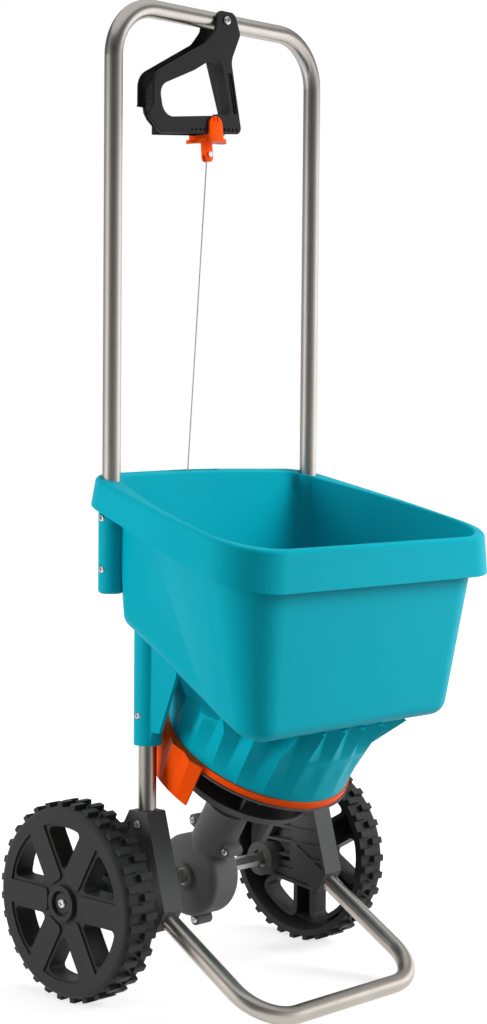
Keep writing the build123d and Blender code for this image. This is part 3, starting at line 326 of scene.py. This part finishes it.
def newGroup(name, inputs, outputs):
    tree = bpy.data.node_groups.new(name, "ShaderNodeTree")
    tree.interface.new_socket("Vector", in_out="INPUT", socket_type="NodeSocketVector")
    for socketName, value in inputs.items():
        kind = "NodeSocketVector" if isinstance(value, tuple) else "NodeSocketFloat"
        socket = tree.interface.new_socket(socketName, in_out="INPUT", socket_type=kind)
        socket.default_value = value
    for socketName in outputs:
        tree.interface.new_socket(socketName, in_out="OUTPUT", socket_type="NodeSocketFloat")
    given = tree.nodes.new("NodeGroupInput").outputs
    out = tree.nodes.new("NodeGroupOutput").inputs
    return tree, given, out


def noiseNode(tree, vector, scale, detail, roughness):
    node = tree.nodes.new("ShaderNodeTexNoise")
    tree.links.new(vector, node.inputs["Vector"])
    feed(tree, node.inputs["Scale"], scale)
    node.inputs["Detail"].default_value = detail
    node.inputs["Roughness"].default_value = roughness
    return node.outputs["Fac"]


def makeMouldGrain(look):
    tree, given, out = newGroup(
        "mouldGrain",
        {"Grain Scale": look["grainScale"], "Cloud Scale": look["cloudScale"]},
        ["Height", "Tone"],
    )
    fine = noiseNode(tree, given["Vector"], given["Grain Scale"], *look["fine"])
    cloud = noiseNode(tree, given["Vector"], given["Cloud Scale"], *look["cloud"])
    speck = mathNode(tree, "MULTIPLY", fine, look["fineShare"])
    wide = mathNode(tree, "MULTIPLY", cloud, look["cloudShare"])
    tone = mathNode(tree, "ADD", speck, wide)
    wire(tree, (fine, out["Height"]), (tone, out["Tone"]))
    return tree


def makeBrushLines(look):
    tree, given, out = newGroup(
        "brushLines",
        {"Stretch": (1, 1, 1), "Line Scale": look["lineScale"]},
        ["Lines", "Stain"],
    )
    stretched = tree.nodes.new("ShaderNodeVectorMath")
    stretched.operation = "MULTIPLY"
    wire(
        tree,
        (given["Vector"], stretched.inputs[0]),
        (given["Stretch"], stretched.inputs[1]),
    )
    lines = noiseNode(tree, stretched.outputs[0], given["Line Scale"], *look["lines"])
    stain = noiseNode(tree, given["Vector"], look["stainScale"], *look["stain"])
    wire(tree, (lines, out["Lines"]), (stain, out["Stain"]))
    return tree


def makeSettledDust(look):
    tree, given, out = newGroup("settledDust", {"Amount": look["amount"]}, ["Mask"])
    surface = tree.nodes.new("ShaderNodeNewGeometry")
    split = tree.nodes.new("ShaderNodeSeparateXYZ")
    tree.links.new(surface.outputs["Normal"], split.inputs[0])
    upward = mathNode(tree, "MAXIMUM", split.outputs["Z"], 0)
    patch = noiseNode(tree, given["Vector"], look["patchScale"], *look["patch"])
    settled = mathNode(tree, "MULTIPLY", upward, patch)
    tree.links.new(mathNode(tree, "MULTIPLY", settled, given["Amount"]), out["Mask"])
    return tree


mouldGrain = makeMouldGrain(grainLook)
brushLines = makeBrushLines(brushLook)
settledDust = makeSettledDust(dustLook)


def placeGroup(tree, group, name, value):
    node = tree.nodes.new("ShaderNodeGroup")
    node.node_tree = group
    coordinates = tree.nodes.new("ShaderNodeTexCoord")
    tree.links.new(coordinates.outputs["Object"], node.inputs["Vector"])
    node.inputs[name].default_value = value
    return node.outputs


def mixColours(tree, factor, first, second):
    node = tree.nodes.new("ShaderNodeMix")
    node.data_type = "RGBA"
    tree.links.new(factor, node.inputs["Factor"])
    for name, value in (("A", first), ("B", second)):
        feed(tree, node.inputs[name], (*value, 1) if isinstance(value, tuple) else value)
    return node.outputs["Result"]


def dressShader(tree, shader, colour, roughness, height, strength, depth):
    bump = tree.nodes.new("ShaderNodeBump")
    bump.inputs["Strength"].default_value = strength
    bump.inputs["Distance"].default_value = depth
    wire(
        tree,
        (colour, shader.inputs["Base Color"]),
        (roughness, shader.inputs["Roughness"]),
        (height, bump.inputs["Height"]),
        (bump.outputs["Normal"], shader.inputs["Normal"]),
    )


plasticLooks = {
    "tealPlastic": {
        "deep": (0.0, 0.365, 0.470), "light": (0.0, 0.415, 0.520), "rough": (0.36, 0.48),
        "gloss": 0.06, "grain": 1500, "bump": 0.22, "dust": 0.004,
    },
    "orangePlastic": {
        "deep": (0.96, 0.074, 0.001), "light": (1.0, 0.100, 0.002), "rough": (0.30, 0.42),
        "gloss": 0.08, "grain": 1800, "bump": 0.12, "dust": 0.01,
    },
    "blackPlastic": {
        "deep": (0.026, 0.026, 0.026), "light": (0.040, 0.040, 0.040), "rough": (0.40, 0.54),
        "gloss": 0.12, "grain": 1300, "bump": 0.25, "dust": 0.05,
    },
    "leverPlastic": {
        "deep": (0.016, 0.016, 0.016), "light": (0.025, 0.025, 0.025), "rough": (0.32, 0.44),
        "gloss": 0.11, "grain": 1300, "bump": 0.18, "dust": 0.02,
    },
    "darkPlastic": {
        "deep": (0.082, 0.082, 0.082), "light": (0.108, 0.108, 0.108), "rough": (0.40, 0.54),
        "gloss": 0.12, "grain": 1500, "bump": 0.18, "dust": 0.04,
    },
    "greyPlastic": {
        "deep": (0.115, 0.115, 0.116), "light": (0.148, 0.148, 0.149), "rough": (0.42, 0.56),
        "gloss": 0.12, "grain": 1500, "bump": 0.18, "dust": 0.03,
    },
    "bearingPlastic": {
        "deep": (0.60, 0.58, 0.52), "light": (0.70, 0.68, 0.62), "rough": (0.30, 0.40),
        "gloss": 0.3, "grain": 1200, "bump": 0.08, "dust": 0.02,
    },
}


def mouldedPlastic(name, look):
    material, tree, shader = newMaterial(name)
    grain = placeGroup(tree, mouldGrain, "Grain Scale", look["grain"])
    dust = placeGroup(tree, settledDust, "Amount", look["dust"])
    body = mixColours(tree, grain["Tone"], look["deep"], look["light"])
    colour = mixColours(tree, dust["Mask"], body, dustLook["colour"])
    roughness = mapRange(tree, grain["Tone"], noiseSpan, look["rough"])
    shader.inputs["Specular IOR Level"].default_value = look["gloss"]
    dressShader(
        tree, shader, colour, roughness, grain["Height"], look["bump"], grainLook["depth"]
    )
    return material


steelLooks = {
    "stainlessUpright": {
        "deep": (0.40, 0.372, 0.340), "light": (0.50, 0.472, 0.440), "rough": (0.25, 0.37),
        "stretch": (1, 1, 0.03), "bump": 0.05,
    },
    "stainlessLegPaintedShade": {
        # same stainless as the upright, painted darker: painted shade for the dark wheels and
        # brackets that the legs mirror
        "deep": (0.26, 0.24, 0.215), "light": (0.35, 0.33, 0.30), "rough": (0.22, 0.34),
        "stretch": (1, 1, 0.03), "bump": 0.05,
    },
    "stainlessStand": {
        "deep": (0.44, 0.40, 0.355), "light": (0.56, 0.52, 0.47), "rough": (0.31, 0.42),
        "stretch": (0.06, 0.06, 0.06), "bump": 0.05,
    },
    "zincSteel": {
        "deep": (0.56, 0.56, 0.55), "light": (0.72, 0.72, 0.70), "rough": (0.26, 0.40),
        "stretch": (0.06, 1, 1), "bump": 0.06,
    },
    "blackenedSteel": {
        "deep": (0.035, 0.035, 0.034), "light": (0.070, 0.068, 0.066), "rough": (0.42, 0.56),
        "stretch": (1, 1, 1), "bump": 0.06,
    },
    "wireSteel": {
        "deep": (0.42, 0.42, 0.41), "light": (0.58, 0.58, 0.56), "rough": (0.30, 0.42),
        "stretch": (1, 1, 0.05), "bump": 0.05,
    },
}


def brushedSteel(name, look):
    material, tree, shader = newMaterial(name)
    brushed = placeGroup(tree, brushLines, "Stretch", look["stretch"])
    colour = mixColours(tree, brushed["Stain"], look["deep"], look["light"])
    roughness = mapRange(tree, brushed["Lines"], noiseSpan, look["rough"])
    shader.inputs["Metallic"].default_value = 1
    dressShader(
        tree, shader, colour, roughness, brushed["Lines"], look["bump"], brushLook["depth"]
    )
    return material


finishes = {name: mouldedPlastic(name, look) for name, look in plasticLooks.items()}
finishes.update({name: brushedSteel(name, look) for name, look in steelLooks.items()})

nodeFinishes = {
    "stainlessUpright": ["handle_tube"],
    # the legs take the darker stainless copy, a painted shade
    "stainlessLegPaintedShade": ["left_leg_tube", "right_leg_tube"],
    "stainlessStand": ["stand_tube"],
    "tealPlastic": ["hopper"],
    "orangePlastic": ["deflector_ring", "dose_clip"],
    "blackPlastic": ["left_wheel", "right_wheel"],
    "leverPlastic": ["squeeze_lever"],
    "darkPlastic": [
        "left_axle_bracket", "right_axle_bracket", "spinner_disc", "outlet_plate",
        "metering_gate", "agitator",
    ],
    "greyPlastic": ["gearbox_left_half", "gearbox_right_half"],
    "bearingPlastic": [
        "left_axle_bush", "right_axle_bush", "gearbox_bushes", "spinner_bush",
        "drive_gear", "bevel_pinion",
    ],
    "zincSteel": [
        "drive_axle", "spinner_shaft", "wheel_screws", "handle_screws", "leg_screws",
        "bracket_screws", "gearbox_screws", "lever_bolt", "lever_nut", "wire_barrel",
    ],
    "blackenedSteel": ["wheel_washers"],
    "wireSteel": ["pull_wire", "gate_wire"],
}
for finish, names in nodeFinishes.items():
    for name in names:
        cadNodes[name].data.materials.clear()
        cadNodes[name].data.materials.append(finishes[finish])
bare = sorted(set(cadNodes) - {n for names in nodeFinishes.values() for n in names})
print("finishes given, solids without one:", bare)

# helpers for meshes
creaseAngle = 35  # degrees, sharper folds stay crisp


def smoothMesh(mesh, angle):
    mesh.polygons.foreach_set("use_smooth", [True] * len(mesh.polygons))
    mesh.set_sharp_from_angle(angle=math.radians(angle))
    return mesh


def meshFromBmesh(name, shape, angle=creaseAngle):
    mesh = bpy.data.meshes.new(name)
    shape.to_mesh(mesh)
    shape.free()
    return smoothMesh(mesh, angle)


def solidPiece(name, shape):
    return newPiece(name, meshFromBmesh(name, shape))


def evaluatedMesh(obj):
    depsgraph = bpy.context.evaluated_depsgraph_get()
    return bpy.data.meshes.new_from_object(obj.evaluated_get(depsgraph))


def combined(base, part, operation):
    step = base.modifiers.new("combine", "BOOLEAN")
    step.operation, step.solver, step.object = operation, "EXACT", part
    mesh = evaluatedMesh(base)
    for old in (base, part):
        bpy.data.objects.remove(old)
    return mesh


def evenNormals(mesh):
    piece = newPiece("even", mesh)
    even = piece.modifiers.new("evenNormals", "WEIGHTED_NORMAL")
    even.keep_sharp = True
    evened = evaluatedMesh(piece)
    bpy.data.objects.remove(piece)
    return evened


# a merged copy of a CAD node, to be worked on
def mergedCopy(node, distance):
    shape = bmesh.new()
    shape.from_mesh(cadNodes[node].data)
    bmesh.ops.remove_doubles(shape, verts=shape.verts, dist=distance)
    return shape


def prism(outline, low, high, taper=1.0):
    shape = bmesh.new()
    top = [shape.verts.new((x, y, high)) for x, y in outline]
    foot = [shape.verts.new((x * taper, y * taper, low)) for x, y in outline]
    shape.faces.new(top)
    shape.faces.new(foot[::-1])
    for i in range(len(outline)):
        j = (i + 1) % len(outline)
        shape.faces.new((foot[i], foot[j], top[j], top[i]))
    bmesh.ops.recalc_face_normals(shape, faces=shape.faces)
    return shape


def boxOf(lowest, highest):
    (x0, y0, z0), (x1, y1, z1) = lowest, highest
    return prism([(x0, y0), (x1, y0), (x1, y1), (x0, y1)], z0, z1)


# outline in the front view, pushed out along the object
def sidePlate(outline, near, far):
    shape = prism(outline, near, far)
    for vert in shape.verts:
        u, w, v = vert.co
        vert.co = (u, v, w)
    bmesh.ops.recalc_face_normals(shape, faces=shape.faces)
    return shape


def finishPiece(name, mesh, finish, body, nodes):
    piece = newPiece(name, mesh)
    piece.data.materials.clear()
    piece.data.materials.append(finishes[finish])
    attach(piece, body)
    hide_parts(*nodes)
    print(name, len(piece.data.polygons), "faces")


# screws: pan heads with a cross recess, on the seats of the plain CAD screws
# axis: 0 is across the object and 1 along it, facing: 0 is away from the middle
caseScrew = {
    "body": "frame", "head": (0.00425, 0.0028), "shank": 0.002, "axis": 0, "facing": 0,
}
screwLook = {
    "sides": 32,
    "shankSides": 16,
    "profile": [
        (0.34, 1.0), (0.62, 0.94), (0.83, 0.77), (0.95, 0.50), (1.0, 0.22), (1.0, 0.0),
    ],
    "crossHalf": 0.15,
    "crossReach": 0.62,
    "crossDepth": 0.66,
    "crossTop": 1.3,
    "crossTaper": 0.72,
    "merge": 1e-6,
    "seed": 4,
    "finish": "zincSteel",
    "sets": {
        "handle_screws": caseScrew,
        "leg_screws": caseScrew,
        "bracket_screws": caseScrew,
        "gearbox_screws": {**caseScrew, "facing": -1},
        "lever_bolt": {
            "body": "frame", "head": (0.005, 0.0032), "shank": 0.003, "axis": 1, "facing": -1,
        },
        "wheel_screws": {
            "body": "axle", "head": (0.0055, 0.0028), "shank": 0.003, "axis": 0, "facing": 0,
        },
    },
}


# a head of radius and height 1, lathed, with the recess cut out
def screwHead(look):
    shape, sides = bmesh.new(), look["sides"]
    rings = [
        [shape.verts.new((x, y, height)) for x, y in ovalPoints(radius, radius, sides)]
        for radius, height in look["profile"]
    ]
    shape.faces.new(rings[0])
    shape.faces.new(rings[-1][::-1])
    for upper, lower in zip(rings, rings[1:]):
        for i in range(sides):
            j = (i + 1) % sides
            shape.faces.new((lower[i], lower[j], upper[j], upper[i]))
    h, r = look["crossHalf"], look["crossReach"]
    outline = [
        (r, -h), (r, h), (h, h), (h, r), (-h, r), (-h, h),
        (-r, h), (-r, -h), (-h, -h), (-h, -r), (h, -r), (h, -h),
    ]
    cross = prism(outline, 1 - look["crossDepth"], look["crossTop"], look["crossTaper"])
    head, tool = solidPiece("screwHead", shape), solidPiece("crossTool", cross)
    return newPiece("screwHead", smoothMesh(combined(head, tool, "DIFFERENCE"), creaseAngle))


def makeScrewTree(look):
    tree = bpy.data.node_groups.new("screwSet", "GeometryNodeTree")
    sockets = {}
    for name, kind in (
        ("Seats", "NodeSocketGeometry"), ("Head", "NodeSocketObject"),
        ("Head Radius", "NodeSocketFloat"), ("Head Height", "NodeSocketFloat"),
        ("Shank Radius", "NodeSocketFloat"), ("Shank Length", "NodeSocketFloat"),
        ("Turn Seed", "NodeSocketInt"), ("Finish", "NodeSocketMaterial"),
    ):
        socket = tree.interface.new_socket(name, in_out="INPUT", socket_type=kind)
        sockets[name] = socket.identifier
    tree.interface.new_socket("Screws", in_out="OUTPUT", socket_type="NodeSocketGeometry")
    given = tree.nodes.new("NodeGroupInput").outputs
    out = tree.nodes.new("NodeGroupOutput").inputs
    head = tree.nodes.new("GeometryNodeObjectInfo")
    headScale = tree.nodes.new("ShaderNodeCombineXYZ")
    sized = tree.nodes.new("GeometryNodeTransform")
    shank = tree.nodes.new("GeometryNodeMeshCylinder")
    shank.inputs["Vertices"].default_value = look["shankSides"]
    sink = mathNode(tree, "MULTIPLY", given["Shank Length"], -0.5)  # its top under the head
    drop = tree.nodes.new("ShaderNodeCombineXYZ")
    sunk = tree.nodes.new("GeometryNodeTransform")
    both = tree.nodes.new("GeometryNodeJoinGeometry")
    aim = tree.nodes.new("GeometryNodeInputNamedAttribute")
    aim.data_type = "FLOAT_VECTOR"
    aim.inputs["Name"].default_value = "aim"
    facing = tree.nodes.new("FunctionNodeAlignRotationToVector")
    facing.axis = "Z"
    turn = tree.nodes.new("FunctionNodeRandomValue")
    turn.data_type = "FLOAT"
    turn.inputs[3].default_value = math.tau  # largest turn
    spin = tree.nodes.new("FunctionNodeAxisAngleToRotation")
    turned = tree.nodes.new("FunctionNodeRotateRotation")
    turned.rotation_space = "LOCAL"
    place = tree.nodes.new("GeometryNodeInstanceOnPoints")
    real = tree.nodes.new("GeometryNodeRealizeInstances")
    finish = tree.nodes.new("GeometryNodeSetMaterial")
    wire(
        tree,
        (given["Head"], head.inputs["Object"]),
        (given["Head Radius"], headScale.inputs["X"]),
        (given["Head Radius"], headScale.inputs["Y"]),
        (given["Head Height"], headScale.inputs["Z"]),
        (head.outputs["Geometry"], sized.inputs["Geometry"]),
        (headScale.outputs[0], sized.inputs["Scale"]),
        (given["Shank Radius"], shank.inputs["Radius"]),
        (given["Shank Length"], shank.inputs["Depth"]),
        (sink, drop.inputs["Z"]),
        (shank.outputs["Mesh"], sunk.inputs["Geometry"]),
        (drop.outputs[0], sunk.inputs["Translation"]),
        (sized.outputs[0], both.inputs[0]),
        (sunk.outputs[0], both.inputs[0]),
        (aim.outputs["Attribute"], facing.inputs["Vector"]),
        (given["Turn Seed"], turn.inputs["Seed"]),
        (turn.outputs[1], spin.inputs["Angle"]),
        (facing.outputs[0], turned.inputs["Rotation"]),
        (spin.outputs[0], turned.inputs["Rotate By"]),
        (given["Seats"], place.inputs["Points"]),
        (both.outputs[0], place.inputs["Instance"]),
        (turned.outputs[0], place.inputs["Rotation"]),
        (place.outputs[0], real.inputs[0]),
        (real.outputs[0], finish.inputs["Geometry"]),
        (given["Finish"], finish.inputs["Material"]),
        (finish.outputs[0], out[0]),
    )
    return tree, sockets


# boxes of the loose solids in one node, in a settled order
def solidBoxes(node, distance):
    shape = mergedCopy(node, distance)
    waiting, boxes = set(shape.verts), []
    while waiting:
        stack, points = [waiting.pop()], []
        while stack:
            vert = stack.pop()
            points.append(vert.co.copy())
            for edge in vert.link_edges:
                other = edge.other_vert(vert)
                if other in waiting:
                    waiting.remove(other)
                    stack.append(other)
        boxes.append([[pick(p[i] for p in points) for i in range(3)] for pick in (min, max)])
    shape.free()
    return sorted(boxes)


def makeScrews(look):
    head = screwHead(look)
    tree, sockets = makeScrewTree(look)
    made = {}
    for node, group in look["sets"].items():
        places, aims, shanks = [], [], []
        axis, (headRadius, headHeight) = group["axis"], group["head"]
        for lowest, highest in solidBoxes(node, look["merge"]):
            side = group["facing"] or (1 if lowest[axis] + highest[axis] > 0 else -1)
            outer = highest[axis] if side > 0 else lowest[axis]
            place = [(a + b) / 2 for a, b in zip(lowest, highest)]
            place[axis] = outer - side * headHeight
            places.append(place)
            aims.append([side if i == axis else 0 for i in range(3)])
            shanks.append(highest[axis] - lowest[axis] - headHeight)
        seats = bpy.data.meshes.new("screwSeats")
        seats.from_pydata(places, [], [])
        aim = seats.attributes.new("aim", "FLOAT_VECTOR", "POINT")
        aim.data.foreach_set("vector", [value for row in aims for value in row])
        holder = newPiece("screwSeats", seats)
        modifier = holder.modifiers.new("screws", "NODES")
        modifier.node_group = tree
        for name, value in (
            ("Head", head), ("Head Radius", headRadius), ("Head Height", headHeight),
            ("Shank Radius", group["shank"]), ("Shank Length", min(shanks)),
            ("Turn Seed", look["seed"]), ("Finish", finishes[look["finish"]]),
        ):
            modifier[sockets[name]] = value
        made.setdefault(group["body"], {})[node] = evaluatedMesh(holder)
        holder.modifiers.remove(modifier)
        bpy.data.objects.remove(holder)
    bpy.data.objects.remove(head)
    for body, meshes in made.items():
        shape = bmesh.new()
        for mesh in meshes.values():
            shape.from_mesh(mesh)
        name = body + "Screws"
        mesh = meshFromBmesh(name, shape)
        finishPiece(name, mesh, look["finish"], body, meshes)


makeScrews(screwLook)


# across the object and up, from the bolt that the lever turns on
def leverPivot():
    lowest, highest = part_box("lever_bolt")
    return (lowest[0] + highest[0]) / 2, (lowest[2] + highest[2]) / 2


# dose clip: saddle on the lower bar of the lever, oval wings and a stem for the wire end
clipLook = {
    "offset": -0.018,  # from the pivot
    "drop": 0.1284,
    "slope": 4.9,
    "wall": 0.003,
    "tongueHalf": 0.0105,
    "tongueTop": 0.0195,
    "tongueFlare": 1.06,
    "archSegments": 16,
    "bridgeInset": 0.0002,
    "bridgeTop": -0.0004,
    "slitHalf": 0.0009,
    "slitDepth": 0.0062,
    "slitBack": 0.0016,
    "slitPast": 0.003,
    "slitPlaces": (-0.0028, 0.0028),
    "wings": (0.0285, 0.0155),
    "wingLevel": -0.0048,
    "wingThick": 0.0036,
    "wingCurl": 0.0022,
    "wingSides": 48,
    "curlTop": 0.001,
    "stemHalf": (0.0050, 0.0044),
    "stemFoot": -0.0305,
    "stemSegments": 8,
    "pinLevel": -0.022,
    "pinRadius": 0.0031,
    "pinSides": 20,
    "wireSlit": 0.0020,
    "overlap": 0.001,  # of shapes that are joined
    "past": 0.002,  # by which the cutters stand out
    "softEdge": 0.0005,
    "softSegments": 2,
    "softAngle": 40,
}


def joined(name, shapes, holes, look):
    base = solidPiece(name, shapes[0])
    steps = [("UNION", s) for s in shapes[1:]] + [("DIFFERENCE", h) for h in holes]
    for operation, shape in steps:
        base = newPiece(name, combined(base, solidPiece(name, shape), operation))
    soft = base.modifiers.new("soft", "BEVEL")
    soft.width, soft.segments = look["softEdge"], look["softSegments"]
    soft.limit_method, soft.angle_limit = "ANGLE", math.radians(look["softAngle"])
    mesh = evaluatedMesh(base)
    bpy.data.objects.remove(base)
    return smoothMesh(mesh, look["softAngle"])


def makeDoseClip(look):
    lowest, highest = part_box("dose_clip")
    middle, outer = (lowest[1] + highest[1]) / 2, (highest[1] - lowest[1]) / 2
    inner, inset = outer - look["wall"], outer - look["bridgeInset"]
    lap, past = look["overlap"], look["past"]
    half, top, level = look["tongueHalf"], look["tongueTop"], look["wingLevel"]
    foot, flare = level - look["wingThick"], half * look["tongueFlare"]
    arch = halfRound(half, top - half, 0, look["archSegments"])
    tongue = [(-flare, foot), (flare, foot)] + arch
    stemU, stemV = look["stemHalf"]
    nose = halfRound(stemU, look["stemFoot"] + stemU, math.pi, look["stemSegments"])
    stem = nose + [(stemU, foot + lap), (-stemU, foot + lap)]
    shapes = [
        prism(ovalPoints(*look["wings"], look["wingSides"]), foot, level),
        boxOf((-half, -inset, level - lap), (half, inset, look["bridgeTop"])),
        sidePlate(tongue, -outer, -inner),
        sidePlate(tongue, inner, outer),
        sidePlate(stem, -stemV, stemV),
    ]
    edge, slit, pinLevel = look["slitHalf"], look["wireSlit"], look["pinLevel"]
    slitLow = (-outer - past, top - look["slitDepth"])
    slitHigh = (-outer + look["slitBack"], top + look["slitPast"])
    pin = ovalPoints(look["pinRadius"], look["pinRadius"], look["pinSides"])
    holes = [boxOf((u - edge, *slitLow), (u + edge, *slitHigh)) for u in look["slitPlaces"]]
    holes += [
        sidePlate([(u, pinLevel + w) for u, w in pin], -stemV - past, stemV + past),
        boxOf((-2 * stemU, -slit, look["stemFoot"] - past), (2 * stemU, slit, pinLevel)),
    ]
    mesh = joined("doseClip", shapes, holes, look)
    for vert in mesh.vertices:
        reach = max(0, abs(vert.co.x) - half) / (look["wings"][0] - half)
        if look["stemFoot"] / 2 < vert.co.z < look["curlTop"]:
            vert.co.z -= look["wingCurl"] * reach**2
    pivotX, pivotZ = leverPivot()
    place = Vector((pivotX + look["offset"], middle, pivotZ - look["drop"]))
    tilt = Matrix.Rotation(-math.radians(look["slope"]), 4, "Y")
    mesh.transform(Matrix.Translation(place) @ tilt)
    finishPiece("doseClip", mesh, "orangePlastic", "clip", ["dose_clip"])


makeDoseClip(clipLook)

# hopper: the broad walls shade as one moulding
hopperLook = {
    "merge": 1e-5,
    "sharp": 17,
}


def makeHopper(look):
    shape = mergedCopy("hopper", look["merge"])
    mesh = evenNormals(meshFromBmesh("hopperShell", shape, look["sharp"]))
    finishPiece("hopperShell", mesh, "tealPlastic", "frame", ["hopper"])


makeHopper(hopperLook)

# lever: ribbed pan behind the slot of the near plate, far plate cut back round the fingers
leverLook = {
    "merge": 1e-5,
    "sharp": 36,
    "pan": [(-0.0010, -0.0555), (0.0104, -0.0555), (0.0206, -0.1055), (0.0105, -0.1055)],
    "panDepth": (0.0027, 0.0047),
    "ribs": [
        [(0.0028, -0.0585), (0.0044, -0.0585), (0.0136, -0.1025), (0.0120, -0.1025)],
        [(0.0062, -0.0585), (0.0074, -0.0585), (0.0176, -0.1025), (0.0164, -0.1025)],
    ],
    "ribDepth": (0.0011, 0.0032),
    "farCut": [(-0.0120, -0.0440), (-0.0060, -0.0440), (0.0150, -0.1020), (0.0040, -0.1020)],
    "farShare": 0.5,
    "past": 0.001,  # by which the cutter stands out
}


def makeLever(look):
    lowest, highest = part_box("squeeze_lever")
    near, depth = lowest[1], highest[1] - lowest[1]
    pivotX, pivotZ = leverPivot()

    def plate(outline, start, end):
        moved = [(pivotX + u, pivotZ + w) for u, w in outline]
        return sidePlate(moved, near + start, near + end)

    lever = solidPiece("lever", mergedCopy("squeeze_lever", look["merge"]))
    farCut = plate(look["farCut"], look["farShare"] * depth, depth + look["past"])
    shape = bmesh.new()
    shape.from_mesh(combined(lever, solidPiece("farCut", farCut), "DIFFERENCE"))
    parts = [plate(look["pan"], *look["panDepth"])]
    parts += [plate(rib, *look["ribDepth"]) for rib in look["ribs"]]
    for part in parts:
        shape.from_mesh(meshFromBmesh("leverRib", part))
    mesh = evenNormals(meshFromBmesh("leverBody", shape, look["sharp"]))
    finishPiece("leverBody", mesh, "leverPlastic", "lever", ["squeeze_lever"])


makeLever(leverLook)
